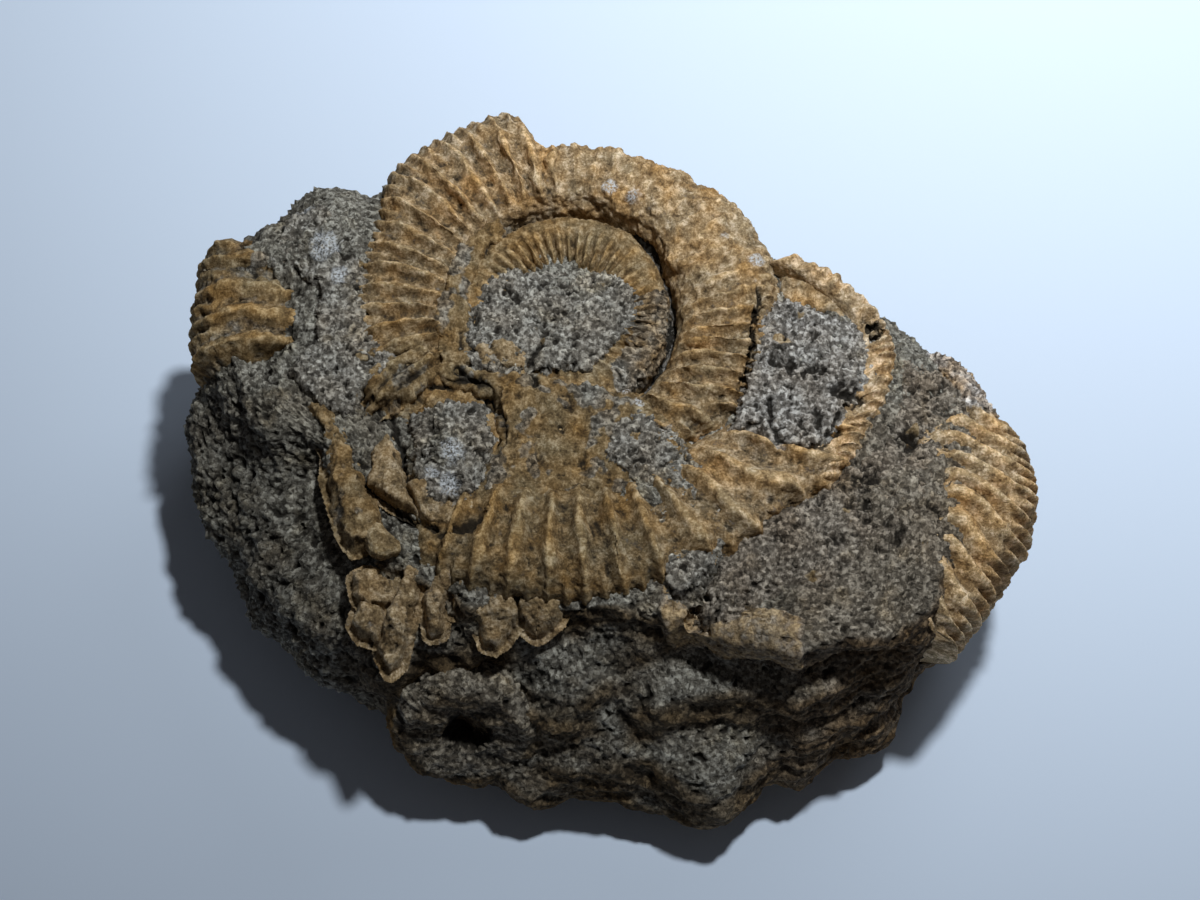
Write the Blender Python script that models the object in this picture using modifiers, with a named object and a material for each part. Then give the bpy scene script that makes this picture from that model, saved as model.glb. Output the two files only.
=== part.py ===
"""Ammonite block: a loose stone with a large ribbed ammonite on its upper face.

Everything is in millimetres up to the last step, which scales the block to metres. The stone rests on
a flat break at z = 0, +Z is up, and the front of the stone faces -Y.
"""

import bpy
import bmesh
import math
import numpy as np
from mathutils import Matrix, Vector, noise

MM = 0.001

# Driving dimensions of the stone
BLOCK_NAME = "ammonite_block"
ORIGIN_SHIFT = (0.4, 1.6)        # centre of the finished block's box, in the frame of the outlines
PLATEAU = 41.5                   # height of the upper face
BELLY = -5.0                     # lowest point of the rounded underside before the flat break
LOW_HEIGHT = 9.0                 # height of the widest outline
MIDDLE_HEIGHT = 24.0
RIM_HEIGHT = 38.5                # height of the outline where the upper face begins
FOOT_SHARE = 0.62                # size of the underside's turn, as a share of the widest outline
SHOULDER_SHARE = 0.93            # where the upper face becomes level, as a share of the rim
FOOT_HEIGHT = -1.0               # height where the underside turns up, just below the flat break
LEVEL_RISES = (-90.0, -52.0, -34.0, -14.0, 8.0, 18.0, 90.0)   # degrees of a sphere that go to each level
LEVEL_SPREAD = 4.0               # further degrees over which the upper face takes on its own height
SWELL_FALL = 1.6                 # how fast a swell fades beyond its reach
LUMP_SIZE = 9.0                  # spacing of the stone's lumps
LUMP_HEIGHT = 1.5
WALL_LUMP = 1.6                  # further height of the lumps on the front wall
WALL_FACING = (0.2, -0.5)        # how far a face looks to the back where the front wall begins and is full
WALL_STEEPNESS = (0.8, 0.4)      # how far it looks up where the front wall begins and is full
LEDGE_HEIGHT = 34.5              # groove under the ledge of the front wall
LEDGE_DEPTH = 2.6
LEDGE_REACH = 3.2                # half the groove's width
LEDGE_SPAN = (280.0, 296.0, 318.0, 332.0)   # degrees where it starts, is full, is still full and ends
PEBBLE_SIZE = 3.6
PEBBLE_HEIGHT = 0.45

# Driving dimensions of the ammonite
SPIRAL_CENTRE = (-5.5, 19.8)
WHORL_MIDDLE = 37.5              # height of the plane that the coil lies in
RIBS_PER_TURN = 50
SECTION_POINTS = 32
STATIONS_PER_RIB = 6
SECTION_POWER = 0.85             # below 1 the whorl's section is squarer than an ellipse
RIB_SHARPNESS = 1.4
SPLIT_HEIGHT = 0.8               # height of the split ribs, as a share of the single ones
RIB_BASE = 0.4                   # share of a rib's height that is cut into the whorl as the trough
SPLIT_SPAN = (0.25, 0.8)         # where the ribs split, from 0 at mid flank to 1 at the outer wall
ROOT_SPAN = (-1.0, -0.6)         # where they rise out of the inner seam, at -1
SEAM = 0.3                       # half the width of the groove between whorls
INNERMOST = 8.5                  # inner radius of the innermost whorl that shows
INNER_HALF = 5.2                 # half heights of the whorls
MIDDLE_HALF = 7.8
OUTER_HALF = 8.6
INNER_RIB = 0.7                  # rib heights, from trough to crest
MIDDLE_RIB = 1.3
OUTER_RIB = 1.7
INNER_TILT = 0.9                 # how far the inner whorl's outer edge stands above its inner edge
MIDDLE_SINKS = ((0, 0.0), (192, 0.0), (207, 2.4), (240, 2.6), (298, 1.8), (314, 0.0))   # where it is broken
OUTER_START = 234.0              # degrees where the outer whorl comes out of the stone
OUTER_RISE = (252.0, 236.0)      # degrees where it stands full, and where it is still sunk
OUTER_DEPTH = 3.6                # how far it is sunk there
OUTER_BREAK = (322.0, 345.0)     # degrees over which its flank is broken away
OUTER_SINK = 3.4                 # how far it sinks there
EDGE_START = 318.0               # degrees from where only the outer whorl's rim stands
EDGE_WIDTH = 6.5                 # width of that rim
EDGE_HALF = 7.0
EDGE_RIB = 1.0

# Driving dimensions of the fine mesh and of the finished solid
VOXEL = 0.62
TRIANGLES = 9300

# Outlines of the stone, as degrees round the middle and the radius there, seen from above
LOW = ((0, 61), (20, 58), (40, 54), (60, 49), (80, 49), (100, 52), (120, 55), (140, 60), (155, 67),
       (167, 69), (178, 65.5), (188, 62), (198, 58.7), (208, 55.2), (215, 51.8), (225, 48), (240, 46),
       (250, 50.5), (257, 51.2), (270, 51), (279, 53.2), (286, 56), (291, 58), (296, 57.4), (302, 54.7),
       (308, 57), (318, 60.3), (327, 58.6), (336, 60.6), (345, 61.5))
MIDDLE = ((0, 63), (15, 60), (30, 53), (45, 48), (60, 47.5), (75, 49), (90, 51), (105, 54), (120, 57),
          (135, 59), (150, 64.5), (165, 67.5), (180, 65.5), (195, 60.5), (212, 56), (225, 50.5), (240, 44),
          (255, 42), (270, 42.5), (285, 45), (300, 49), (315, 56), (330, 61), (345, 63.5))
RIM = ((0, 59), (10, 55), (16, 51.5), (22, 49.5), (29, 48.3), (38, 46), (46, 43.5), (54, 41.5), (70, 44),
       (85, 48), (95, 49), (104, 54), (116, 57), (130, 56.5), (138, 64), (144, 64), (151, 67.5), (160, 66),
       (167, 62), (175, 57), (181, 50), (188, 44.5), (197, 41.5), (210, 40), (225, 38.5), (240, 34.5),
       (255, 31.5), (270, 30), (285, 32), (297, 37.5), (306, 44), (314, 50.5), (324, 57.5), (335, 58.5),
       (348, 59))

# Swells and dips of the upper face: x, y, reach and height
SWELLS = ((-5.5, 19.8, 17.0, -3.6),     # sunk disc of the inner whorls
          (-5.5, 21.5, 9.5, 5.4),       # grey fill of the umbilicus
          (-44.0, 33.0, 13.0, 3.4),     # crag at the far left
          (-57.0, 19.0, 9.0, -4.5),     # low ground round the ribbed stretch at the left end
          (-41.0, -4.0, 10.0, 2.2),     # shoulder above the left slope
          (-24.0, -5.0, 6.0, 4.6),      # plug in the broken middle
          (32.0, 11.0, 11.0, 3.0),      # fill of the broken outer whorl
          (45.0, -13.0, 15.0, 1.6),     # grey field on the right
          (7.0, -13.0, 6.5, 4.6),       # patch that covers the outer whorl
          (16.5, -31.0, 6.5, -5.5),     # hollow of the front ledge
          (-6.0, -29.0, 6.0, -2.5))

# Edges between whorls, as degrees round the spiral's centre and the radius there
FIRST_EDGE = ((0, 17.0), (60, 18.8), (120, 18.5), (180, 17.5), (240, 17.5), (300, 18.0))
SECOND_EDGE = ((0, 34.2), (22, 34.6), (45, 32.7), (70, 31.4), (97, 31.3), (100, 34.0), (103, 38.5),
               (108, 39.4), (134, 39.4), (143, 37.5), (152, 35.6), (175, 34.7), (205, 33.0), (230, 31.0),
               (257, 29.4), (285, 29.0), (310, 30.0), (335, 33.0), (350, 33.2))
THIRD_EDGE = ((130, 39.0), (165, 40.0), (199, 40.6), (217, 42.3), (234, 45.5), (255, 49.6), (273, 49.1),
              (293, 49.2), (315, 49.6), (324, 51.0), (342, 52.8), (350, 52.9), (356, 51.6), (366, 46.0),
              (372, 41.2), (377, 37.0))

# Share of the rib height that weathering has left, as degrees round the centre and the share
INNER_WEAR = ((0, 0.8), (40, 0.5), (60, 1.0), (150, 1.0), (190, 0.4), (300, 0.4), (330, 0.9))
MIDDLE_WEAR = ((0, 0.9), (14, 0.8), (32, 0.25), (88, 0.3), (102, 1.0), (195, 1.0), (222, 0.3), (296, 0.3),
               (316, 1.0))
OUTER_WEAR = ((0, 1.0), (234, 0.4), (250, 1.0))
FULL_WEAR = ((0, 1.0), (180, 1.0))

# Lean of the ribs towards the mouth, as degrees round the centre and degrees of lean
RIB_LEAN = ((0, 12), (60, 4), (120, 2), (180, 2), (240, 4), (285, 0), (310, 12), (330, 24))

GROUND_CUTTER = 400.0            # side of the cube that cuts the underside flat

# Ribbed stretch at the right end: its upper edge and its outer edge, as matching points
FAN_INNER = ((55.5, 13.0, 39.5), (57.5, 6.0, 41.0), (54.5, -0.5, 42.0), (54.0, -6.0, 42.5),
             (55.0, -12.0, 42.5), (52.5, -18.5, 42.0), (49.5, -25.0, 40.5), (47.0, -30.0, 38.5))
FAN_OUTER = ((58.8, 10.8, 36.5), (62.6, 4.4, 34.0), (67.0, -1.0, 33.0), (68.4, -7.2, 32.5),
             (67.2, -14.0, 32.0), (63.5, -21.5, 31.0), (59.0, -27.5, 30.0), (54.5, -33.0, 29.0))
FAN_RIBS = 12.5
FAN_RIB = 1.3
FAN_SWEEP = 1.0                  # how many ribs they sweep forward by on their way out
FAN_SWEEP_SPAN = (0.0, 0.7)
FAN_SPLIT_SPAN = (0.55, 0.9)

# Ribbed stretch at the left end, on the next turn of the coil
LEFT_START = 163.0
LEFT_STOP = 190.0
LEFT_INNER = 41.0
LEFT_OUTER = 60.3
LEFT_HALF = 8.6
LEFT_MIDDLE = 34.0
LEFT_RIB = 1.9
LEFT_RIBS_PER_TURN = 64

# Broken round whorl end at the front left
END_CENTRE = (-20.8, -43.2, 20.5)
END_FACING = (-0.05, -0.88, 0.44)
END_RADIUS = 12.6
END_DEPTH = 22.0
END_BEVEL = 3.6                  # how far back the end's rounded edge starts
END_CROWN = 0.7                  # how far the broken face bulges, three quarters of the way out
END_CROWN_SHARE = 0.75
END_EDGE_DROP = 0.8              # how far back it has fallen just inside the rounded edge
END_EDGE_SHARE = 0.94
END_STEPS = 40
HOLLOW_RADIUS = 2.6
HOLLOW_DEPTH = 7.0
HOLLOW_FLOOR_SHARE = 0.7         # width of the hollow's floor, as a share of its throat
HOLLOW_THROAT_SHARE = 0.4        # depth of the throat, as a share of the hollow's depth
HOLLOW_MOUTH_SHARE = 1.5         # width of the mouth, as a share of the throat

# Cemented shell fragments: x, y, z of one end, of the other end, and radius
FRAGMENTS = ((-34.0, -19.5, 42.2, -33.0, -20.5, 42.4, 2.4),
             (-31.0, -21.5, 41.0, -33.5, -31.5, 36.5, 2.2),
             (-36.0, -24.5, 38.5, -37.0, -29.0, 36.0, 2.3),
             (-23.5, -24.0, 41.0, -25.5, -31.0, 38.0, 1.7),
             (-16.5, -26.5, 40.5, -16.0, -32.5, 37.5, 2.5),
             (-8.0, -28.0, 41.0, -8.5, -32.0, 38.0, 2.5),
             (-37.5, 11.0, 44.0, -27.5, 14.0, 44.5, 1.3),
             (-36.5, 7.5, 43.8, -27.0, 12.0, 44.4, 1.2),
             (-40.5, 3.0, 42.8, -36.0, -16.0, 42.6, 2.4))


def curve(spots, values, at):
    """Smooth curve through values at rising spots, which never swings past them.

    values has one row for each spot. It has one column for all asked points, or a column for each.
    """
    spots = np.asarray(spots, dtype=float)
    values = np.asarray(values, dtype=float).reshape(len(spots), -1)
    at = np.clip(np.asarray(at, dtype=float), spots[0], spots[-1])
    step = np.diff(spots)
    rise = np.diff(values, axis=0) / step[:, None]
    product = rise[:-1] * rise[1:]
    total = np.where(product > 0.0, rise[:-1] + rise[1:], 1.0)
    slope = np.zeros_like(values)
    slope[1:-1] = np.where(product > 0.0, 2.0 * product / total, 0.0)
    slope[0] = rise[0]
    slope[-1] = rise[-1]
    cell = np.clip(np.searchsorted(spots, at, side="right") - 1, 0, len(spots) - 2)
    column = np.arange(len(at)) if values.shape[1] > 1 else 0
    width = step[cell]
    t = (at - spots[cell]) / width
    rest = 1.0 - t
    ends = values[cell, column] * (1 + 2 * t) * rest ** 2 + values[cell + 1, column] * t ** 2 * (3 - 2 * t)
    bends = slope[cell, column] * t * rest ** 2 - slope[cell + 1, column] * t ** 2 * rest
    return ends + width * bends


def round_curve(table, degrees):
    """Read a closed table of (degrees, value) rows at any angles."""
    spots = [row[0] for row in table]
    values = [row[1] for row in table]
    spots = [spots[-1] - 360.0] + spots + [spots[0] + 360.0, spots[1] + 360.0]
    values = [values[-1]] + values + [values[0], values[1]]
    turned = (np.asarray(degrees, dtype=float) - spots[1]) % 360.0 + spots[1]
    return curve(spots, values, turned)


def eased(low, high, value):
    """0 at low, 1 at high, and a smooth change between. It falls where low is the larger."""
    t = np.clip((np.asarray(value, dtype=float) - low) / (high - low), 0.0, 1.0)
    return t * t * (3.0 - 2.0 * t)


def mesh_from(name, points, faces):
    """Mesh from an array of points and a list of faces."""
    mesh = bpy.data.meshes.new(name)
    mesh.from_pydata([tuple(point) for point in points], [], faces)
    mesh.update()
    return mesh


def tube_faces(stations, section, closed):
    """Faces of a tube of equal sections. An open tube is closed by a cap at each end."""
    faces = []
    last = stations if closed else stations - 1
    for station in range(last):
        here = station * section
        there = ((station + 1) % stations) * section
        for spot in range(section):
            beside = (spot + 1) % section
            faces.append((here + spot, here + beside, there + beside, there + spot))
    if not closed:
        end = (stations - 1) * section
        faces.append(tuple(reversed(range(section))))
        faces.append(tuple(range(end, end + section)))
    return faces


def upper_face(x, y):
    """Height of the stone's upper face, without lumps."""
    height = np.full(np.shape(x), PLATEAU)
    for centre_x, centre_y, reach, swell in SWELLS:
        away = ((x - centre_x) ** 2 + (y - centre_y) ** 2) / reach ** 2
        height = height + swell * np.exp(-SWELL_FALL * away)
    return height


def stone_surface(directions):
    """Carry points of a unit sphere to the stone: up the side by its outlines, then over the upper face."""
    angle = np.degrees(np.arctan2(directions[:, 1], directions[:, 0]))
    rise = np.degrees(np.arcsin(np.clip(directions[:, 2], -1.0, 1.0)))
    low = round_curve(LOW, angle)
    middle = round_curve(MIDDLE, angle)
    rim = round_curve(RIM, angle)
    nothing = np.zeros_like(low)
    radii = np.array([nothing, low * FOOT_SHARE, low, middle, rim, rim * SHOULDER_SHARE, nothing])
    heights = (BELLY, FOOT_HEIGHT, LOW_HEIGHT, MIDDLE_HEIGHT, RIM_HEIGHT, PLATEAU, PLATEAU)
    radius = curve(LEVEL_RISES, radii, rise)
    z = curve(LEVEL_RISES, heights, rise)
    x = radius * np.cos(np.radians(angle))
    y = radius * np.sin(np.radians(angle))
    level = eased(LEVEL_RISES[-3], LEVEL_RISES[-2] + LEVEL_SPREAD, rise)
    z = z + level * (upper_face(x, y) - z)
    return np.stack([x, y, z], axis=1)


def ledge_groove(spot):
    """Depth of the long groove that sets the ledge off from the front wall."""
    degrees = math.degrees(math.atan2(spot.y, spot.x)) % 360.0
    start, full, still, end = LEDGE_SPAN
    along = eased(start, full, degrees) * eased(end, still, degrees)
    return LEDGE_DEPTH * float(along) * math.exp(-((spot.z - LEDGE_HEIGHT) / LEDGE_REACH) ** 2)


def make_stone():
    """Body of rock that holds the fossils."""
    work = bmesh.new()
    bmesh.ops.create_icosphere(work, subdivisions=6, radius=1.0)
    mesh = bpy.data.meshes.new("stone")
    work.to_mesh(mesh)
    work.free()
    flat = np.empty(len(mesh.vertices) * 3)
    mesh.vertices.foreach_get("co", flat)
    mesh.vertices.foreach_set("co", stone_surface(flat.reshape(-1, 3)).ravel())
    mesh.update()
    for vertex in mesh.vertices:
        wall = float(eased(*WALL_FACING, vertex.normal.y) * eased(*WALL_STEEPNESS, vertex.normal.z))
        lump = noise.noise(vertex.co / LUMP_SIZE) * (LUMP_HEIGHT + WALL_LUMP * wall)
        pebble = noise.noise(vertex.co / PEBBLE_SIZE) * PEBBLE_HEIGHT
        vertex.co += vertex.normal * (lump + pebble - ledge_groove(vertex.co))
    return mesh


def rib_height(turns, sideways):
    """Height of the ribs above the whorl's mean surface, for a height of 1, at a count of ribs along it.

    sideways is 0 on the flank, where the ribs are single, and 1 on the outer wall, where each has split.
    """
    single = (0.5 + 0.5 * np.cos(2.0 * math.pi * turns)) ** RIB_SHARPNESS
    split = (0.5 + 0.5 * np.cos(4.0 * math.pi * turns)) ** RIB_SHARPNESS
    return single * (1.0 - sideways) + SPLIT_HEIGHT * split * sideways - RIB_BASE


def make_whorl(name, span, inner, outer, form):
    """Ribbed tube of one turn, or a stretch of it, round the spiral's centre.

    span is its first and last degrees. inner and outer give the tube's edges at an array of degrees.
    form holds its middle height, half height, rib height, ribs per turn, tilt and tables of wear and sinks.
    """
    start, stop = span
    closed = stop - start >= 360.0
    stations = int(form["ribs"] * STATIONS_PER_RIB * (stop - start) / 360.0) + (0 if closed else 1)
    degrees = np.linspace(start, stop, stations, endpoint=not closed)
    near = inner(degrees)[:, None]
    far = outer(degrees)[:, None]
    sink = form["sinks"](degrees)[:, None]
    turn = np.linspace(0.0, 2.0 * math.pi, SECTION_POINTS, endpoint=False)[None, :]
    across = -np.sign(np.cos(turn)) * np.abs(np.cos(turn)) ** SECTION_POWER
    upward = np.sign(np.sin(turn)) * np.abs(np.sin(turn)) ** SECTION_POWER
    radius = (near + far) / 2.0 + (far - near) / 2.0 * across
    lean = np.tan(np.radians(round_curve(RIB_LEAN, degrees)))[:, None]
    count = (degrees[:, None] - np.degrees(lean * np.log(radius / near))) / 360.0 * form["ribs"]
    height = form["rib"] * rib_height(count, eased(*SPLIT_SPAN, across)) * eased(*ROOT_SPAN, across)
    height = height * round_curve(form["wear"], degrees)[:, None]
    radius = radius + height * across
    z = form["middle"] + (form["half"] - sink + height) * upward
    z = z + form["tilt"] * across * np.maximum(upward, 0.0)
    angle = np.radians(degrees)[:, None]
    x = SPIRAL_CENTRE[0] + radius * np.cos(angle)
    y = SPIRAL_CENTRE[1] + radius * np.sin(angle)
    points = np.stack([x, y, z], axis=2).reshape(-1, 3)
    return mesh_from(name, points, tube_faces(stations, SECTION_POINTS, closed))


def whorl_form(half, rib, wear, sinks=np.zeros_like, tilt=0.0, ribs=RIBS_PER_TURN, middle=WHORL_MIDDLE):
    """Sizes of a whorl, for make_whorl."""
    return {"half": half, "rib": rib, "wear": wear, "sinks": sinks, "tilt": tilt, "ribs": ribs,
            "middle": middle}


def first_edge(degrees):
    return round_curve(FIRST_EDGE, degrees)


def second_edge(degrees):
    return round_curve(SECOND_EDGE, degrees)


def third_edge(degrees):
    return curve([row[0] for row in THIRD_EDGE], [row[1] for row in THIRD_EDGE], degrees)


def middle_sinks(degrees):
    return round_curve(MIDDLE_SINKS, degrees)


def outer_sinks(degrees):
    """The outer whorl comes out of the stone at its start, and its flank is broken away at its end."""
    return OUTER_DEPTH * eased(*OUTER_RISE, degrees) + OUTER_SINK * eased(*OUTER_BREAK, degrees)


def make_coil():
    """The three whorls of the upper face, the last one's rim, and a stretch of the next turn at the left."""
    whole = (0.0, 360.0)
    end = THIRD_EDGE[-1][0]
    first = make_whorl("inner_whorl", whole, lambda a: np.full(a.shape, INNERMOST),
                       lambda a: first_edge(a) - SEAM,
                       whorl_form(INNER_HALF, INNER_RIB, INNER_WEAR, tilt=INNER_TILT))
    second = make_whorl("middle_whorl", whole, lambda a: first_edge(a) + SEAM, second_edge,
                        whorl_form(MIDDLE_HALF, MIDDLE_RIB, MIDDLE_WEAR, middle_sinks))
    third = make_whorl("outer_whorl", (OUTER_START, end), lambda a: second_edge(a) - SEAM, third_edge,
                       whorl_form(OUTER_HALF, OUTER_RIB, OUTER_WEAR, outer_sinks))
    rim = make_whorl("outer_rim", (EDGE_START, end), lambda a: third_edge(a) - EDGE_WIDTH, third_edge,
                     whorl_form(EDGE_HALF, EDGE_RIB, OUTER_WEAR))
    left_form = whorl_form(LEFT_HALF, LEFT_RIB, FULL_WEAR, ribs=LEFT_RIBS_PER_TURN, middle=LEFT_MIDDLE)
    left = make_whorl("left_stretch", (LEFT_START, LEFT_STOP), lambda a: np.full(a.shape, LEFT_INNER),
                      lambda a: np.full(a.shape, LEFT_OUTER), left_form)
    return [first, second, third, rim, left]


def make_fan():
    """Ribbed stretch of whorl that curves out of the stone at the right end."""
    stations = int(FAN_RIBS * STATIONS_PER_RIB * 2)
    along = np.linspace(0.0, 1.0, stations)
    spots = np.linspace(0.0, 1.0, len(FAN_OUTER))
    inner = np.stack([curve(spots, [row[axis] for row in FAN_INNER], along) for axis in range(3)], axis=1)
    outer = np.stack([curve(spots, [row[axis] for row in FAN_OUTER], along) for axis in range(3)], axis=1)
    outward = outer[:, :2] - inner[:, :2]
    reach = np.linalg.norm(outward, axis=1, keepdims=True)
    outward = outward / reach
    turn = np.linspace(0.0, 2.0 * math.pi, SECTION_POINTS, endpoint=False)[None, :]
    across = np.cos(turn)
    upward = np.sin(turn)
    count = along[:, None] * FAN_RIBS - FAN_SWEEP * eased(*FAN_SWEEP_SPAN, across)
    height = FAN_RIB * rib_height(count, eased(*FAN_SPLIT_SPAN, across))
    flat = -reach + (reach + height) * across
    x = outer[:, :1] + outward[:, :1] * flat
    y = outer[:, 1:2] + outward[:, 1:2] * flat
    z = outer[:, 2:] + (inner[:, 2:] - outer[:, 2:] + height) * upward
    points = np.stack([x, y, z], axis=2).reshape(-1, 3)
    return mesh_from("right_stretch", points, tube_faces(stations, SECTION_POINTS, False))


def make_whorl_end():
    """Broken round whorl end at the front, turned from a profile with a blind hollow in its face."""
    profile = ((0.0, -HOLLOW_DEPTH), (HOLLOW_RADIUS * HOLLOW_FLOOR_SHARE, -HOLLOW_DEPTH),
               (HOLLOW_RADIUS, -HOLLOW_DEPTH * HOLLOW_THROAT_SHARE), (HOLLOW_RADIUS * HOLLOW_MOUTH_SHARE, 0.0),
               (END_RADIUS * END_CROWN_SHARE, END_CROWN), (END_RADIUS * END_EDGE_SHARE, -END_EDGE_DROP),
               (END_RADIUS, -END_BEVEL), (END_RADIUS, -END_DEPTH), (0.0, -END_DEPTH))
    mesh = bpy.data.meshes.new("whorl_end_profile")
    mesh.from_pydata([(r, 0.0, z) for r, z in profile], [(i, i + 1) for i in range(len(profile) - 1)], [])
    turned = bpy.data.objects.new("whorl_end_profile", mesh)
    bpy.context.scene.collection.objects.link(turned)
    screw = turned.modifiers.new("turn", "SCREW")
    screw.steps = END_STEPS
    screw.render_steps = END_STEPS
    screw.use_merge_vertices = True
    screw.merge_threshold = 0.0001
    shape = bpy.data.meshes.new_from_object(turned.evaluated_get(bpy.context.evaluated_depsgraph_get()))
    bpy.data.objects.remove(turned)
    facing = Vector(END_FACING).to_track_quat("Z", "Y").to_matrix().to_4x4()
    facing.translation = END_CENTRE
    shape.transform(facing)
    return shape


def make_fragment(row):
    """Shell fragment cemented to the stone, a lump stretched between two points."""
    start = Vector(row[:3])
    stop = Vector(row[3:6])
    radius = row[6]
    work = bmesh.new()
    bmesh.ops.create_icosphere(work, subdivisions=3, radius=radius)
    stretch = 1.0 + (stop - start).length / (2.0 * radius)
    bmesh.ops.scale(work, vec=(1.0, 1.0, stretch), verts=work.verts)
    turn = (stop - start).to_track_quat("Z", "Y").to_matrix()
    bmesh.ops.rotate(work, cent=(0.0, 0.0, 0.0), matrix=turn, verts=work.verts)
    bmesh.ops.translate(work, vec=(start + stop) / 2.0, verts=work.verts)
    mesh = bpy.data.meshes.new("fragment")
    work.to_mesh(mesh)
    work.free()
    return mesh


def fuse(meshes):
    """Fuse overlapping closed shapes into one skin and thin it to the wanted number of triangles."""
    work = bmesh.new()
    for mesh in meshes:
        work.from_mesh(mesh)
        bpy.data.meshes.remove(mesh)
    whole = bpy.data.meshes.new("whole")
    work.to_mesh(whole)
    work.free()
    block = bpy.data.objects.new(BLOCK_NAME, whole)
    bpy.context.scene.collection.objects.link(block)
    skin = block.modifiers.new("skin", "REMESH")
    skin.mode = "VOXEL"
    skin.voxel_size = VOXEL
    block.data = bpy.data.meshes.new_from_object(block.evaluated_get(bpy.context.evaluated_depsgraph_get()))
    block.modifiers.remove(skin)
    thin = block.modifiers.new("thin", "DECIMATE")
    thin.ratio = TRIANGLES / (2.0 * len(block.data.polygons))
    thin.use_collapse_triangulate = True
    block.data = bpy.data.meshes.new_from_object(block.evaluated_get(bpy.context.evaluated_depsgraph_get()))
    block.modifiers.remove(thin)
    bpy.context.scene.collection.objects.unlink(block)
    return block


def stone_material():
    """Ochre-grey limestone."""
    material = bpy.data.materials.new("limestone")
    material.use_nodes = True
    shader = material.node_tree.nodes["Principled BSDF"]
    shader.inputs["Base Color"].default_value = (0.33, 0.26, 0.17, 1.0)
    shader.inputs["Roughness"].default_value = 0.92
    shader.inputs["Metallic"].default_value = 0.0
    return material


def cut_flat(block, cutters):
    """Flat break on the underside, on which the stone rests."""
    side = GROUND_CUTTER * MM
    work = bmesh.new()
    bmesh.ops.create_cube(work, size=side)
    bmesh.ops.translate(work, vec=(0.0, 0.0, -side / 2.0), verts=work.verts)
    mesh = bpy.data.meshes.new("ground_cutter")
    work.to_mesh(mesh)
    work.free()
    cutter = bpy.data.objects.new("ground_cutter", mesh)
    cutters.objects.link(cutter)
    cutter.hide_render = True
    cutter.display_type = "WIRE"
    cut = block.modifiers.new("flat_break", "BOOLEAN")
    cut.operation = "DIFFERENCE"
    cut.solver = "EXACT"
    cut.object = cutter


def build():
    for item in list(bpy.data.objects):
        bpy.data.objects.remove(item)
    parts = bpy.data.collections.new("ammonite")
    cutters = bpy.data.collections.new("cutters")
    bpy.context.scene.collection.children.link(parts)
    bpy.context.scene.collection.children.link(cutters)
    shapes = [make_stone(), *make_coil(), make_fan(), make_whorl_end()]
    shapes.extend(make_fragment(row) for row in FRAGMENTS)
    block = fuse(shapes)
    parts.objects.link(block)
    shift = Matrix.Translation((-ORIGIN_SHIFT[0], -ORIGIN_SHIFT[1], 0.0))
    block.data.transform(Matrix.Scale(MM, 4) @ shift)
    block.data.materials.clear()
    block.data.materials.append(stone_material())
    block.data.shade_smooth()
    cut_flat(block, cutters)


build()
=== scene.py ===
"""Ammonite block with its grains, weathered ribs and mineral colours.

Outlines and heights are in millimetres, in the frame of the block's outlines, and repeat the values of the
block's solid. Meshes are moved to the row frame, in metres, when they become pieces.
"""

import math

import bmesh
import bpy
import numpy as np
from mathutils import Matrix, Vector, noise


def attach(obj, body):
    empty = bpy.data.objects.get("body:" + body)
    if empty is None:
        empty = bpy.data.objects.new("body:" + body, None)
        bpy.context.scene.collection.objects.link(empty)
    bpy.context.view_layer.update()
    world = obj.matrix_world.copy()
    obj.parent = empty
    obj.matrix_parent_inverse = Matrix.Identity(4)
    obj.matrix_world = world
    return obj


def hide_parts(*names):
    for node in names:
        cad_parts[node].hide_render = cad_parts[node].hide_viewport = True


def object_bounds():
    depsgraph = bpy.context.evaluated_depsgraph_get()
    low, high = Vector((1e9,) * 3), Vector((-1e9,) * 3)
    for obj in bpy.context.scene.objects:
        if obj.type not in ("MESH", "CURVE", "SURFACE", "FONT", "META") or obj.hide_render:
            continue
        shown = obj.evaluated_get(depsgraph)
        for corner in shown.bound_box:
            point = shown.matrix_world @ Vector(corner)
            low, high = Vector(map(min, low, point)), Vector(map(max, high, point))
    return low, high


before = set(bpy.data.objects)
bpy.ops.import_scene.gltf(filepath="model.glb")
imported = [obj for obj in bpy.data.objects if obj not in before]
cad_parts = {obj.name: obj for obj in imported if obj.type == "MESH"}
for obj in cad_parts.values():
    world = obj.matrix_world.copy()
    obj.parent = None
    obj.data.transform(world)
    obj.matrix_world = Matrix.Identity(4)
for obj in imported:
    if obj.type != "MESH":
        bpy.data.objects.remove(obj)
CAD_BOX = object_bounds()
MM = 0.001

# Stone
ORIGIN_SHIFT = (0.4, 1.6)
PLATEAU = 41.5
BELLY = -5.0
LOW_HEIGHT = 9.0
MIDDLE_HEIGHT = 24.0
RIM_HEIGHT = 38.5
FOOT_SHARE = 0.62
SHOULDER_SHARE = 0.93
FOOT_HEIGHT = -1.0
LEVEL_RISES = (-90.0, -52.0, -34.0, -14.0, 8.0, 18.0, 90.0)
FINE_RISES = (-90.0, -64.0, -42.0, -19.0, 3.0, 11.0, 90.0)    # the same levels, with more of the mesh on top
LEVEL_SPREAD = 4.0               # further degrees over which the upper face takes on its own height
WALL_FACING = (0.2, -0.5)        # how far a face looks to the back where the front wall begins and is full
WALL_STEEPNESS = (0.8, 0.4)      # how far it looks up where the front wall begins and is full
SWELL_FALL = 1.6
LUMP_SIZE = 9.0
LUMP_HEIGHT = 1.5
WALL_LUMP = 1.6
LEDGE_HEIGHT = 34.5
LEDGE_DEPTH = 2.6
LEDGE_REACH = 3.2
LEDGE_SPAN = (280.0, 296.0, 318.0, 332.0)
PEBBLE_SIZE = 3.6
PEBBLE_HEIGHT = 0.45

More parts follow.
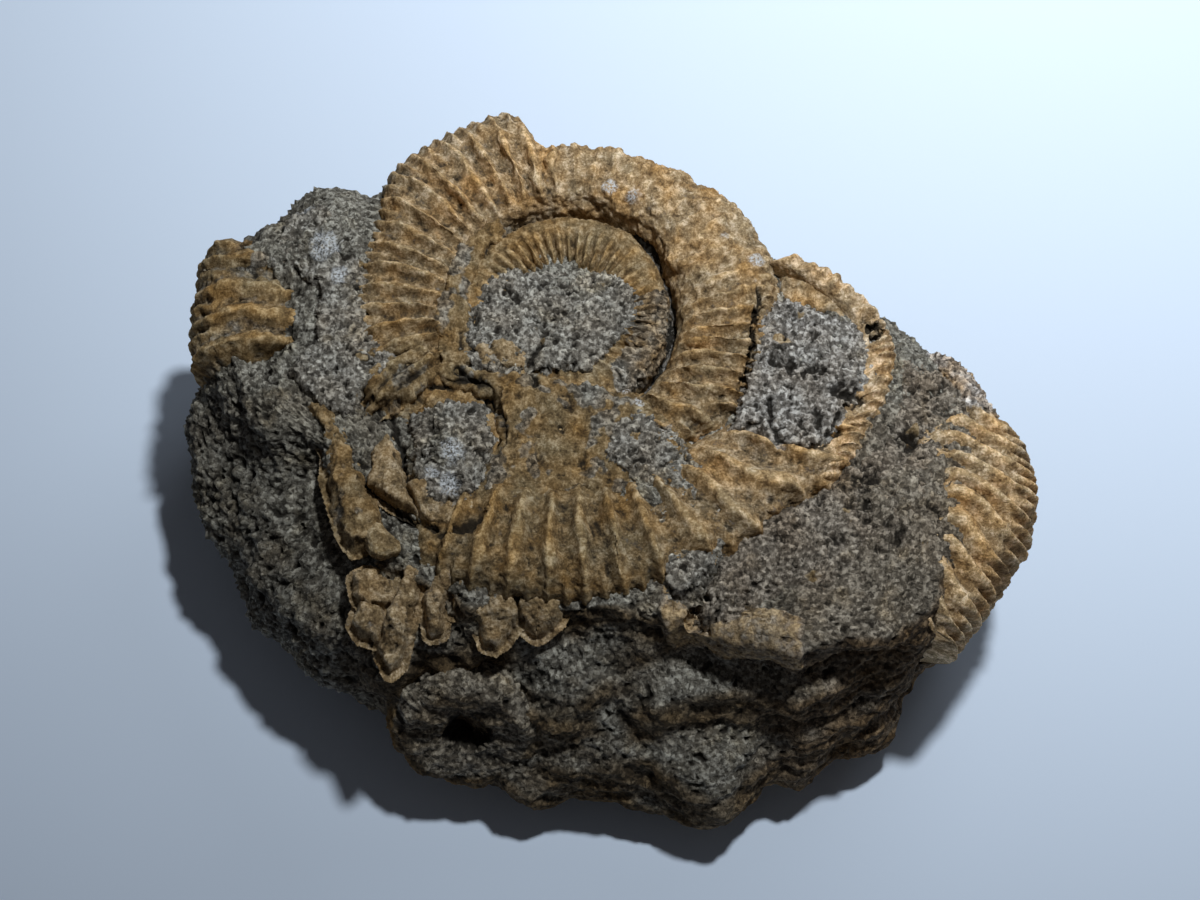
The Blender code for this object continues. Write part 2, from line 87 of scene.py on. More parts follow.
# Ammonite
CENTRE = (-5.5, 19.8)
WHORL_MIDDLE = 37.5
RIBS_PER_TURN = 50
SECTION_POWER = 0.85
SPLIT_HEIGHT = 0.8
RIB_BASE = 0.4
SPLIT_SPAN = (0.25, 0.8)
ROOT_SPAN = (-1.0, -0.6)
SEAM = 0.3
INNERMOST = 8.5
INNER_HALF = 5.2
MIDDLE_HALF = 7.8
OUTER_HALF = 8.6
INNER_RIB = 0.7
MIDDLE_RIB = 1.3
OUTER_RIB = 1.7
INNER_TILT = 0.9
OUTER_START = 234.0
OUTER_RISE = (252.0, 236.0)
OUTER_DEPTH = 3.6
OUTER_BREAK = (322.0, 345.0)
OUTER_SINK = 3.4
EDGE_START = 318.0
EDGE_WIDTH = 6.5
EDGE_HALF = 7.0
EDGE_RIB = 1.0

LOW = ((0, 61), (20, 58), (40, 54), (60, 49), (80, 49), (100, 52), (120, 55), (140, 60), (155, 67),
       (167, 69), (178, 65.5), (188, 62), (198, 58.7), (208, 55.2), (215, 51.8), (225, 48), (240, 46),
       (250, 50.5), (257, 51.2), (270, 51), (279, 53.2), (286, 56), (291, 58), (296, 57.4), (302, 54.7),
       (308, 57), (318, 60.3), (327, 58.6), (336, 60.6), (345, 61.5))
MIDDLE = ((0, 63), (15, 60), (30, 53), (45, 48), (60, 47.5), (75, 49), (90, 51), (105, 54), (120, 57),
          (135, 59), (150, 64.5), (165, 67.5), (180, 65.5), (195, 60.5), (212, 56), (225, 50.5), (240, 44),
          (255, 42), (270, 42.5), (285, 45), (300, 49), (315, 56), (330, 61), (345, 63.5))
RIM = ((0, 59), (10, 55), (16, 51.5), (22, 49.5), (29, 48.3), (38, 46), (46, 43.5), (54, 41.5), (70, 44),
       (85, 48), (95, 49), (104, 54), (116, 57), (130, 56.5), (138, 64), (144, 64), (151, 67.5), (160, 66),
       (167, 62), (175, 57), (181, 50), (188, 44.5), (197, 41.5), (210, 40), (225, 38.5), (240, 34.5),
       (255, 31.5), (270, 30), (285, 32), (297, 37.5), (306, 44), (314, 50.5), (324, 57.5), (335, 58.5),
       (348, 59))
SWELLS = ((-5.5, 19.8, 17.0, -3.6), (-5.5, 21.5, 9.5, 5.4), (-44.0, 33.0, 13.0, 3.4),
          (-57.0, 19.0, 9.0, -4.5), (-41.0, -4.0, 10.0, 2.2), (-24.0, -5.0, 6.0, 4.6),
          (32.0, 11.0, 11.0, 3.0), (45.0, -13.0, 15.0, 1.6), (7.0, -13.0, 6.5, 4.6),
          (16.5, -31.0, 6.5, -5.5), (-6.0, -29.0, 6.0, -2.5))
FIRST_EDGE = ((0, 17.0), (60, 18.8), (120, 18.5), (180, 17.5), (240, 17.5), (300, 18.0))
SECOND_EDGE = ((0, 34.2), (22, 34.6), (45, 32.7), (70, 31.4), (97, 31.3), (100, 34.0), (103, 38.5),
               (108, 39.4), (134, 39.4), (143, 37.5), (152, 35.6), (175, 34.7), (205, 33.0), (230, 31.0),
               (257, 29.4), (285, 29.0), (310, 30.0), (335, 33.0), (350, 33.2))
THIRD_EDGE = ((130, 39.0), (165, 40.0), (199, 40.6), (217, 42.3), (234, 45.5), (255, 49.6), (273, 49.1),
              (293, 49.2), (315, 49.6), (324, 51.0), (342, 52.8), (350, 52.9), (356, 51.6), (366, 46.0),
              (372, 41.2), (377, 37.0))
INNER_WEAR = ((0, 0.8), (40, 0.5), (60, 1.0), (150, 1.0), (190, 0.4), (300, 0.4), (330, 0.9))
FULL_WEAR = ((0, 1.0), (180, 1.0))
EDGE_WEAR = ((0, 1.0), (17, 0.8), (318, 0.9), (345, 0.8), (355, 1.0))

# Where the middle whorl is broken away, and the ribs that its crust and the outer whorl's rim leave in sight
MIDDLE_SINKS = ((0, 0.0), (192, 0.0), (207, 2.4), (240, 2.6), (298, 1.8), (314, 0.0))
MIDDLE_RIBS_LEFT = ((0, 0.55), (14, 0.4), (32, 0.2), (88, 0.25), (102, 0.95), (195, 1.0), (222, 0.3),
                    (296, 0.3), (316, 1.0), (345, 0.85))
OUTER_RIBS_LEFT = ((0, 0.1), (17, 0.1), (234, 0.4), (250, 1.0), (332, 1.0), (347, 0.1))

# Degrees by which ribs lean
EDGE_LEAN = ((0, 20), (17, 15), (318, 42), (348, 42))
RIB_LEAN = ((0, 12), (60, 4), (120, 2), (180, 2), (240, 4), (285, 0), (310, 12), (330, 24))

# Ribbed stretches at the right and left ends, and the broken whorl end at the front
FAN_INNER = ((55.5, 13.0, 39.5), (57.5, 6.0, 41.0), (54.5, -0.5, 42.0), (54.0, -6.0, 42.5),
             (55.0, -12.0, 42.5), (52.5, -18.5, 42.0), (49.5, -25.0, 40.5), (47.0, -30.0, 38.5))
FAN_OUTER = ((58.8, 10.8, 36.5), (62.6, 4.4, 34.0), (67.0, -1.0, 33.0), (68.4, -7.2, 32.5),
             (67.2, -14.0, 32.0), (63.5, -21.5, 31.0), (59.0, -27.5, 30.0), (54.5, -33.0, 29.0))
FAN_RIBS = 12.5
FAN_RIB = 1.3
FAN_GAIN = 1.6                   # how much bolder its ribs are here than in the solid
FAN_SWEEP = 1.0                  # how many ribs they sweep forward by on their way out
FAN_SWEEP_SPAN = (0.0, 0.7)
FAN_SHARPNESS = 0.55
FAN_SPLIT_SPAN = (0.55, 0.9)
FAN_ROOT = (-0.25, 0.15)         # share of the way out over which they rise
FAN_START = (0.12, 0.22)         # share of its length over which they begin
FAN_BURIED = (0.24, 0.14)        # and over which matrix hides it
FAN_LENGTH = 49.0                # along the ribbed edge, for the noise on its ribs
FAN_WIDTH = 9.0
FAN_FINE = 22                    # steps of its mesh along one rib's spacing
FAN_SECTION = 84                 # and round what shows of its section
LEFT_SPAN = (163.0, 190.0)
LEFT_INNER = 41.0
LEFT_OUTER = 60.3
LEFT_HALF = 8.6
LEFT_MIDDLE = 34.0
LEFT_RIB = 1.9
LEFT_RIBS_PER_TURN = 64
END_CENTRE = (-20.8, -43.2, 20.5)
END_FACING = (-0.05, -0.88, 0.44)
END_RADIUS = 12.6
END_DEPTH = 22.0
END_BEVEL = 3.6
END_CROWN = 0.7                  # how far the broken face bulges, three quarters of the way out
END_CROWN_SHARE = 0.75
END_EDGE_DROP = 0.8              # how far back it has fallen just inside the rounded edge
END_EDGE_SHARE = 0.94
END_ROWS = 96                    # rows of its mesh
END_STEPS = 190                  # and steps round it
HOLLOW_RADIUS = 2.6
HOLLOW_DEPTH = 7.0
HOLLOW_FLOOR_SHARE = 0.7         # width of the hollow's floor, as a share of its throat
HOLLOW_THROAT_SHARE = 0.4        # depth of the throat, as a share of the hollow's depth
HOLLOW_MOUTH_SHARE = 1.5         # width of the mouth, as a share of the throat

# Fragments that are lumps or ridges: number in the solid, start, stop and radius. The others are flat shards
LUMPS = ((1, -34.0, -19.5, 42.2, -33.0, -20.5, 42.4, 2.4), (7, -37.5, 11.0, 44.0, -27.5, 14.0, 44.5, 1.3),
         (8, -36.5, 7.5, 43.8, -27.0, 12.0, 44.4, 1.2))
FRAGMENT_POWER = 0.72            # below 1 a fragment is blockier than a ball
FRAGMENT_WIDTH = 0.86
TAPER_END = 0.3                  # size of a whorl's section where it is buried, as a share
SECTION_DIP = 0.16               # half turns by which the finer part of a section reaches below its middle
UNSEEN_STEPS = 9                 # steps round the rest of a section

# Fine relief
STONE_SPLITS = 8                 # of the ball that the bare stone is made from
STONE_CUT = 0.03                 # height on that ball at which it is cut into two pieces
GRAIN_SIZE = 0.85                # spacing of the matrix's grains
CRUMB_SIZE = 1.7                 # spacing of the lumps of grains on the left flank
RING_DEPTH = 4.0                 # groove round the inner whorl, painted black as the shadow in it
RING_WIDTH = 1.8
RING_RADIUS = 18.0
RING_TURN = 50.0                 # degrees at its middle, and how far from there it ends
RING_ENDS = (122.0, 104.0)
CLOD_SIZE = 3.4                  # larger lumps of the matrix
SLAB_SIZE = 7.0                  # breaks of the front wall, flatter than they are long
SLAB_SHAPE = (1.0, 1.0, 1.9)
CRAG_SIZE = 5.0                  # sharp ridges of the front wall
CRAG_SHAPE = (1.0, 1.0, 1.6)
FRONT_SIDE = (-46.0, -30.0)      # x over which the front wall's breaks begin
FLANK_SIDE = (-20.0, -36.0)      # x over which the coarse left flank begins, and y over which it ends
FLANK_BACK = (4.0, 12.0)
FLANK_FRONT = (-40.0, -22.0)
SHELF_FLOOR = (31.0, 34.0)       # height over which the ledge's ochre floor begins
SHELF_RISE = 1.4                 # how far it stands out of its groove
PINK_SIDE = (20.0, 34.0)         # x and y over which the matrix turns pinkish
PINK_FRONT = (8.0, -4.0)
STAIN_HEIGHT = (14.0, 3.0)       # height below which the foot is stained
COVER_MARGIN = 1.5
COVER_EDGE = (3.6, 1.3, 1.0)     # how far a cover's edge dips, over what width, and how ragged it is
SHARD_EDGE = (3.0, 0.6, 0.12)    # the same for a shard
SHARD_SPACING = 0.22
ROW_SHARE = 0.87                 # distance between rows of a cover's mesh, as a share of its spacing
COVER_DEPTH = 3.0
RIDGE_SPACING = 2.4              # of a scrap of ribs left of the coil

# Ground that lies over or between the whorls: outline from above, then heights at some spots
FILL = ((-20.6, 21.7), (-18.5, 26.2), (-15.2, 28.6), (-9.6, 27.9), (-4.0, 27.5), (1.6, 27.1), (5.4, 25.2),
        (7.4, 21.6), (6.6, 17.8), (3.9, 14.6), (1.0, 11.8), (-1.4, 9.4), (-4.4, 9.2), (-8.1, 8.9),
        (-12.5, 7.9), (-16.4, 7.9), (-20.7, 8.4), (-22.8, 12.8), (-21.8, 18.1))
LEFT_COVER = ((-55.9, 28.0), (-50.9, 35.2), (-44.9, 39.5), (-40.0, 35.2), (-36.9, 28.2), (-36.1, 21.2),
              (-35.5, 14.0), (-31.2, 12.8), (-30.2, 8.9), (-35.9, 5.2), (-39.6, 0.8), (-42.7, 1.7),
              (-47.0, 6.2), (-49.4, 8.9), (-47.1, 12.3), (-45.0, 15.8), (-45.2, 23.0), (-49.4, 27.0))
RIGHT_FILL = ((23.2, 12.3), (24.4, 18.5), (29.6, 22.2), (36.3, 19.4), (42.4, 17.2), (45.4, 12.8),
              (43.9, 7.4), (39.4, 2.4), (36.4, -3.1), (32.4, -5.2), (27.7, -5.6), (24.0, -2.4), (20.2, -1.6),
              (21.8, 5.3))
RIGHT_FIELD = ((46.6, 14.4), (51.0, 11.2), (57.4, 7.3), (59.0, 0.9), (57.6, -3.4), (54.8, -7.3),
               (53.2, -11.0), (53.9, -15.8), (52.0, -20.9), (49.8, -25.4), (45.9, -29.5), (39.0, -33.0),
               (29.9, -35.2), (20.9, -34.6), (15.5, -31.9), (15.3, -27.9), (17.2, -22.4), (20.5, -18.9),
               (23.5, -16.6), (29.9, -13.2), (36.8, -8.6), (42.6, -3.6), (45.9, 3.2))
CENTRE_CRUST = ((-24.7, 13.4), (-20.1, 10.4), (-15.6, 8.7), (-9.4, 9.0), (-5.0, 8.0), (1.0, 6.8), (6.6, 5.2),
                (10.5, 1.0), (14.8, -5.1), (12.7, -11.8), (7.0, -12.4), (2.0, -13.4), (-3.1, -12.6),
                (-8.1, -14.4), (-13.8, -13.3), (-18.9, -14.4), (-17.9, -6.9), (-15.9, -2.9), (-16.6, 4.2),
                (-23.4, 5.9), (-27.5, 8.5))
LOWER_PATCH = ((6.2, 2.7), (11.6, -2.3), (16.1, -7.0), (18.8, -13.5), (20.3, -18.4), (17.9, -23.4),
               (15.0, -28.3), (10.5, -29.1), (8.6, -24.4), (6.6, -17.3), (4.9, -11.1), (0.0, -6.9),
               (1.5, 0.1))
INNER_DIRT = ((11.5, 24.4), (12.1, 19.8), (11.0, 13.8), (8.0, 8.5), (3.3, 4.6), (0.0, 10.3), (2.9, 12.7),
              (4.8, 16.0), (5.5, 19.8), (5.1, 22.6))
LEDGE_FLOOR = ((8.5, -26.0), (20.0, -28.0), (30.0, -33.0), (31.0, -38.5), (18.0, -37.0), (9.0, -32.0))
PLUG = ((-29.5, 1.6), (-23.4, 3.6), (-18.1, 2.4), (-16.3, -3.3), (-16.8, -9.9), (-20.3, -14.8),
        (-25.9, -14.0), (-29.3, -8.4))
STRIP = ((-46.0, 3.9), (-42.8, 4.6), (-40.7, 0.8), (-38.4, -3.6), (-36.6, -8.1), (-35.2, -12.6),
         (-33.2, -15.6), (-33.4, -18.9), (-37.6, -20.7), (-39.6, -17.4), (-41.0, -13.1), (-42.4, -8.5),
         (-42.2, -4.9), (-43.9, -0.9))
SCRAP = ((-37.2, 4.0), (-36.6, 6.9), (-33.9, 9.4), (-29.8, 11.5), (-26.4, 11.5), (-25.6, 9.6), (-26.4, 6.6),
         (-28.4, 5.0), (-32.2, 3.2), (-35.4, 1.8))
PLATE = ((-35.5, -4.5), (-33.1, -1.3), (-31.1, -4.7), (-30.0, -10.1), (-27.9, -15.1), (-31.5, -13.8),
         (-35.6, -10.4))
BOWL = ((-30.0, -10.4), (-26.1, -9.8), (-19.9, -13.5), (-16.0, -13.1), (-17.1, -16.0), (-22.8, -17.9),
        (-26.6, -16.8))
LID = ((-19.7, 13.4), (-15.7, 14.7), (-11.0, 12.5), (-11.7, 9.0), (-16.4, 9.4), (-19.1, 10.8))
INNER_MARGIN = tuple((CENTRE[0] + radius * math.cos(math.radians(degrees)),
                      CENTRE[1] + radius * math.sin(math.radians(degrees)))
                     for radius, degrees in ((20.5, 122), (21.5, 140), (21.0, 160), (21.5, 180), (22.0, 200),
                                             (22.5, 214), (15.8, 214), (15.2, 200), (14.8, 180),
                                             (15.4, 160), (16.0, 140), (17.2, 122)))

# Name, outline, kind of ground, spacing of its mesh and heights
COVERS = (("umbilicus_fill", FILL, "grey", 0.24, ((-6, 19, 43.7), (7, 18, 43.1), (-19, 17, 43.8),
           (-5, 27, 42.4), (-8, 10, 43.8), (3, 12, 42.8))),
          ("left_cover", LEFT_COVER, "grey", 0.27, ((-42, 28, 44.9), (-38, 15, 44.9), (-51, 29, 43.6),
           (-44, 6, 43.9), (-34, 9, 44.9), (-46, 37, 45.4))),
          ("right_fill", RIGHT_FILL, "light", 0.26, ((30, 15, 44.6), (38, 8, 44.9), (44, 12, 43.6),
           (24, 12, 44.2), (22, 4, 44.4), (27, 0, 44.5), (36, 0, 44.7))),
          ("right_field", RIGHT_FIELD, "pink", 0.27, ((45, -13, 43.6), (52, -18, 42.8), (56, 3, 41.8),
           (48, 10, 42.6), (38, -31, 40.6), (25, -32, 40.0), (20, -24, 43.0), (30, -18, 43.9),
           (46, -27, 41.0))),
          ("centre_crust", CENTRE_CRUST, "crust", 0.25, ((-12, 5, 44.9), (0, 2, 44.6), (8, -2, 45.0),
           (-8, -7, 44.2), (4, -8, 44.4), (-8, -13, 44.7), (3, -12, 44.8), (-18, -13, 44.3), (-20, 9, 44.2),
           (-25, 9, 43.8), (0, 7, 43.6))),
          ("lower_patch", LOWER_PATCH, "grey", 0.26, ((8, 0, 45.3), (13, -10, 45.2), (14, -22, 44.6),
           (5, -6, 45.2))),
          ("plug", PLUG, "grey", 0.25, ((-21, -1, 46.4), (-22, -6, 46.2), (-24, -11, 44.9), (-28, -2, 44.2),
           (-17, -8, 45.0))),
          ("bowl", BOWL, "shard", 0.25, ((-28, -11, 45.2), (-24, -12, 43.6), (-24, -17, 44.3),
           (-18, -14, 44.6))),
          ("ochre_strip", STRIP, "ochre", 0.27, ((-44, 3, 43.9), (-40, -5, 44.6), (-38, -14, 44.7),
           (-35, -18, 44.0))),
          ("plate", PLATE, "shard", 0.25, ((-33, -3, 43.4), (-30, -12, 45.4), (-34, -9, 44.4))),
          ("scrap", SCRAP, "ribbed", 0.25, ((-35, 4, 44.9), (-30, 9, 45.4), (-27, 8, 45.0))),
          ("lid", LID, "shard", 0.25, ((-19, 12, 44.3), (-15, 13, 44.4), (-12, 10, 44.1))),
          ("inner_margin", INNER_MARGIN, "crust", 0.25, ((-14, 35, 44.0), (-24, 22, 44.0), (-24, 12, 43.8))))

# Flat shell fragments at the front left: outline from above, then heights at some spots
SHARDS = ((((-37.7, -24.4), (-35.7, -23.2), (-31.6, -24.9), (-30.4, -27.2), (-31.5, -28.8), (-35.4, -29.1),
            (-37.0, -27.5)), ((-36, -24, 42.0), (-34, -28, 40.6))),
          (((-37.6, -31.0), (-36.5, -27.8), (-33.1, -28.7), (-32.1, -31.7), (-33.5, -33.6), (-36.3, -33.0)),
           ((-35, -29, 40.4), (-35, -33, 38.6))),
          (((-29.3, -22.6), (-27.4, -23.9), (-28.1, -28.5), (-29.3, -33.3), (-30.3, -36.9), (-31.8, -38.5),
            (-33.5, -34.9), (-33.0, -32.0), (-31.6, -28.5), (-30.3, -25.2)),
           ((-28.5, -23.5, 42.8), (-30, -30, 41.2), (-32, -38, 37.6))),
          (((-26.7, -28.0), (-25.5, -25.1), (-23.4, -23.1), (-21.3, -22.5), (-21.9, -25.4), (-23.6, -28.7),
            (-24.1, -32.6), (-25.9, -32.9)), ((-23, -23.5, 43.2), (-25, -28, 41.8), (-25, -33, 39.6))),
          (((-21.0, -23.1), (-18.6, -24.1), (-15.2, -27.0), (-12.4, -28.4), (-12.1, -30.6), (-13.9, -32.9),
            (-15.9, -34.8), (-17.5, -34.2), (-19.0, -30.6), (-20.9, -28.0), (-22.4, -29.7), (-21.9, -26.2)),
           ((-20, -24, 43.0), (-16, -28, 42.2), (-16, -34, 38.8), (-22, -29, 41.0))),
          (((-12.7, -27.2), (-10.3, -26.2), (-7.3, -26.5), (-5.2, -28.5), (-6.3, -31.1), (-9.7, -33.0),
            (-11.5, -31.7), (-12.7, -29.5)), ((-11, -27, 42.2), (-6, -28, 41.4), (-10, -33, 39.2))))


def curve(spots, values, at):
    """Smooth curve through values at rising spots, which never swings past them."""
    spots = np.asarray(spots, dtype=float)
    values = np.asarray(values, dtype=float).reshape(len(spots), -1)
    at = np.clip(np.asarray(at, dtype=float), spots[0], spots[-1])
    step = np.diff(spots)
    rise = np.diff(values, axis=0) / step[:, None]
    product = rise[:-1] * rise[1:]
    total = np.where(product > 0.0, rise[:-1] + rise[1:], 1.0)
    slope = np.zeros_like(values)
    slope[1:-1] = np.where(product > 0.0, 2.0 * product / total, 0.0)
    slope[0] = rise[0]
    slope[-1] = rise[-1]
    cell = np.clip(np.searchsorted(spots, at, side="right") - 1, 0, len(spots) - 2)
    column = np.arange(len(at)) if values.shape[1] > 1 else 0
    width = step[cell]
    t = (at - spots[cell]) / width
    rest = 1.0 - t
    ends = values[cell, column] * (1 + 2 * t) * rest ** 2 + values[cell + 1, column] * t ** 2 * (3 - 2 * t)
    bends = slope[cell, column] * t * rest ** 2 - slope[cell + 1, column] * t ** 2 * rest
    return ends + width * bends


def round_curve(table, degrees):
    """Read a closed table of (degrees, value) rows at any angles."""
    spots = [row[0] for row in table]
    values = [row[1] for row in table]
    spots = [spots[-1] - 360.0] + spots + [spots[0] + 360.0, spots[1] + 360.0]
    values = [values[-1]] + values + [values[0], values[1]]
    turned = (np.asarray(degrees, dtype=float) - spots[1]) % 360.0 + spots[1]
    return curve(spots, values, turned)


def eased(low, high, value):
    """0 at low, 1 at high, and a smooth change between."""
    t = np.clip((np.asarray(value, dtype=float) - low) / (high - low), 0.0, 1.0)
    return t * t * (3.0 - 2.0 * t)


# Noise over many points at once
ORDER = np.tile(np.random.default_rng(11).permutation(256), 2)
SLOPES = np.random.default_rng(12).normal(size=(256, 3))
SLOPES /= np.linalg.norm(SLOPES, axis=1, keepdims=True)
SCATTER = np.random.default_rng(13).random((256, 3))


def cell_code(cell, seed):
    """A number from 0 to 255 for each cell of a grid."""
    first = ORDER[(cell[:, 0] + seed) & 255]
    return ORDER[(ORDER[(first + cell[:, 1]) & 255] + cell[:, 2]) & 255]


def waves(spot, size, seed=0):
    """Smooth noise from about -1 to 1, with bumps size apart."""
    place = spot / size
    cell = np.floor(place).astype(np.int64)
    part = place - cell
    fade = part ** 3 * (part * (part * 6.0 - 15.0) + 10.0)
    total = np.zeros(len(spot))
    for corner in np.ndindex(2, 2, 2):
        offset = np.array(corner)
        share = np.where(offset == 1, fade, 1.0 - fade).prod(axis=1)
        total += share * ((part - offset) * SLOPES[cell_code(cell + offset, seed)]).sum(axis=1)
    return total * 1.7


def layers(spot, size, count, seed=0):
    """Noise summed over count sizes, each half the last."""
    total = np.zeros(len(spot))
    for layer in range(count):
        total += waves(spot, size / 2 ** layer, seed + 17 * layer) / 2 ** layer
    return total


def domes(spot, size, seed=0):
    """Rounded grains size apart: 1 on top of a grain, 0 in the gap, and each grain's own value."""
    place = spot / size
    cell = np.floor(place).astype(np.int64)
    first = np.full(len(spot), 9.0)
    second = np.full(len(spot), 9.0)
    own = np.zeros(len(spot))
    for step in np.ndindex(3, 3, 3):
        there = cell + np.array(step) - 1
        code = cell_code(there, seed)
        away = ((there + SCATTER[code] - place) ** 2).sum(axis=1)
        nearer = away < first
        second = np.where(nearer, first, np.minimum(second, away))
        own = np.where(nearer, code / 255.0, own)
        first = np.where(nearer, away, first)
    gap = np.sqrt(second) - np.sqrt(first)
    return eased(0.0, 0.4, gap) * (1.0 - 0.45 * first), own


def warped(spot, size, amount, seed=0):
    """The points, each moved by noise."""
    shift = [waves(spot, size, seed + 31 * axis) for axis in range(3)]
    return spot + amount * np.stack(shift, axis=1)


def line_distance(x, y, line):
    """Distance of each point from a line of (x, y) spots."""
    best = np.full(np.shape(x), 1e9)
    for (start_x, start_y), (stop_x, stop_y) in zip(line, line[1:]):
        dx = stop_x - start_x
        dy = stop_y - start_y
        t = np.clip(((x - start_x) * dx + (y - start_y) * dy) / (dx * dx + dy * dy), 0.0, 1.0)
        best = np.minimum(best, np.hypot(x - start_x - t * dx, y - start_y - t * dy))
    return best


def inward(x, y, outline):
    """Distance in from a closed outline, below 0 outside it."""
    closed = tuple(outline) + tuple(outline[:1])
    within = np.zeros(np.shape(x), dtype=bool)
    for (start_x, start_y), (stop_x, stop_y) in zip(closed, closed[1:]):
        crosses = (start_y > y) != (stop_y > y)
        rise = stop_y - start_y if stop_y != start_y else 1e-9
        within ^= crosses & (x < start_x + (y - start_y) * (stop_x - start_x) / rise)
    distance = line_distance(x, y, closed)
    return np.where(within, distance, -distance)


def patch(spot, outline, rag=1.2, seed=0):
    """1 inside an outline and 0 outside it, with a ragged edge."""
    reach = inward(spot[:, 0], spot[:, 1], outline)
    reach = reach + rag * waves(spot, 3.4, seed) + 0.5 * rag * waves(spot, 1.2, seed + 5)
    return eased(-0.3, 0.3, reach)


def spots_of(spot, table, seed=0):
    """1 in ragged round spots, given as rows of x, y, z and radius."""
    total = np.zeros(len(spot))
    rough = 0.35 * waves(spot, 2.2, seed) + 0.3 * waves(spot, 0.9, seed + 3)
    for x, y, z, radius in table:
        away = np.sqrt((spot[:, 0] - x) ** 2 + (spot[:, 1] - y) ** 2 + 0.4 * (spot[:, 2] - z) ** 2) / radius
        total = np.maximum(total, eased(1.15, 0.55, away + rough))
    return total


def upper_face(x, y):
    """Height of the stone's upper face, without lumps."""
    height = np.full(np.shape(x), PLATEAU)
    for centre_x, centre_y, reach, swell in SWELLS:
        away = ((x - centre_x) ** 2 + (y - centre_y) ** 2) / reach ** 2
        height = height + swell * np.exp(-SWELL_FALL * away)
    return height


def stone_surface(directions):
    """Carry points of a unit sphere to the stone: up the side by its outlines, then over the upper face."""
    angle = np.degrees(np.arctan2(directions[:, 1], directions[:, 0]))
    rise = np.degrees(np.arcsin(np.clip(directions[:, 2], -1.0, 1.0)))
    rise = np.interp(rise, FINE_RISES, LEVEL_RISES)
    low = round_curve(LOW, angle)
    middle = round_curve(MIDDLE, angle)
    rim = round_curve(RIM, angle)
    nothing = np.zeros_like(low)
    radii = np.array([nothing, low * FOOT_SHARE, low, middle, rim, rim * SHOULDER_SHARE, nothing])
    heights = (BELLY, FOOT_HEIGHT, LOW_HEIGHT, MIDDLE_HEIGHT, RIM_HEIGHT, PLATEAU, PLATEAU)
    radius = curve(LEVEL_RISES, radii, rise)
    z = curve(LEVEL_RISES, heights, rise)
    x = radius * np.cos(np.radians(angle))
    y = radius * np.sin(np.radians(angle))
    level = eased(LEVEL_RISES[-3], LEVEL_RISES[-2] + LEVEL_SPREAD, rise)
    z = z + level * (upper_face(x, y) - z)
    return np.stack([x, y, z], axis=1)


def front_wall(normal):
    """1 on the front wall and 0 off it."""
    return eased(*WALL_FACING, normal[:, 1]) * eased(*WALL_STEEPNESS, normal[:, 2])


def ledge_groove(spot):
    """Depth of the long groove that sets the ledge off from the front wall."""
    degrees = np.degrees(np.arctan2(spot[:, 1], spot[:, 0])) % 360.0
    start, full, still, end = LEDGE_SPAN
    along = eased(start, full, degrees) * eased(end, still, degrees)
    return LEDGE_DEPTH * along * np.exp(-((spot[:, 2] - LEDGE_HEIGHT) / LEDGE_REACH) ** 2)


def tube_faces(stations, section, closed):
    """Faces of a tube of equal sections. An open tube is closed by a cap at each end."""
    faces = []
    last = stations if closed else stations - 1
    for station in range(last):
        here = station * section
        there = ((station + 1) % stations) * section
        for spot in range(section):
            beside = (spot + 1) % section
            faces.append((here + spot, here + beside, there + beside, there + spot))
    if not closed:
        end = (stations - 1) * section
        faces.append(tuple(reversed(range(section))))
        faces.append(tuple(range(end, end + section)))
    return faces


def grid_points(x, y, z):
    """Points from grids of their coordinates, as one list."""
    return np.stack(np.broadcast_arrays(x, y, z), axis=2).reshape(-1, 3)


def new_mesh(name, points, faces):
    """Mesh and its vertex normals."""
    mesh = bpy.data.meshes.new(name)
    mesh.from_pydata(points.tolist(), [], faces)
    mesh.update()
    return mesh, normals_of(mesh)


def normals_of(mesh):
    flat = np.empty(len(mesh.vertices) * 3)
    mesh.vertex_normals.foreach_get("vector", flat)
    return flat.reshape(-1, 3)


def points_of(mesh):
    flat = np.empty(len(mesh.vertices) * 3)
    mesh.vertices.foreach_get("co", flat)
    return flat.reshape(-1, 3)


# Looks: every piece keeps these at each vertex, for the material
LOOKS = ("shell",                # ochre shell, 0 on bare matrix
         "crest",                # crests painted light as highlight, hollows, cracks and pits painted dark as shade
         "rust", "lime",         # stains and white specks
         "shade",                # painted shade on faces turned away from the light
         "pink",                 # matrix with a pinkish cast
         "own",                  # tone of each grain
         "pale")                 # how far the colour is painted paler: partly faded shell, partly painted light where the light falls strongest

# Kinds of ground: how far they are painted paler, partly as faded shell and partly as painted light, and how
# much of them is shell
PALE_GROUND = {"grey": 0.16, "light": 0.5, "pink": 0.14, "crust": 0.05, "ochre": 0.05, "ribbed": 0.05,
               "shard": 0.45}
SHELL_GROUND = {"crust": 0.75, "ochre": 1.0, "shard": 1.1, "ribbed": 0.95}
RIDGE_WAY = (-0.69, 0.72)        # across the ribs of the ribbed ground
SPECK_SEED = 91

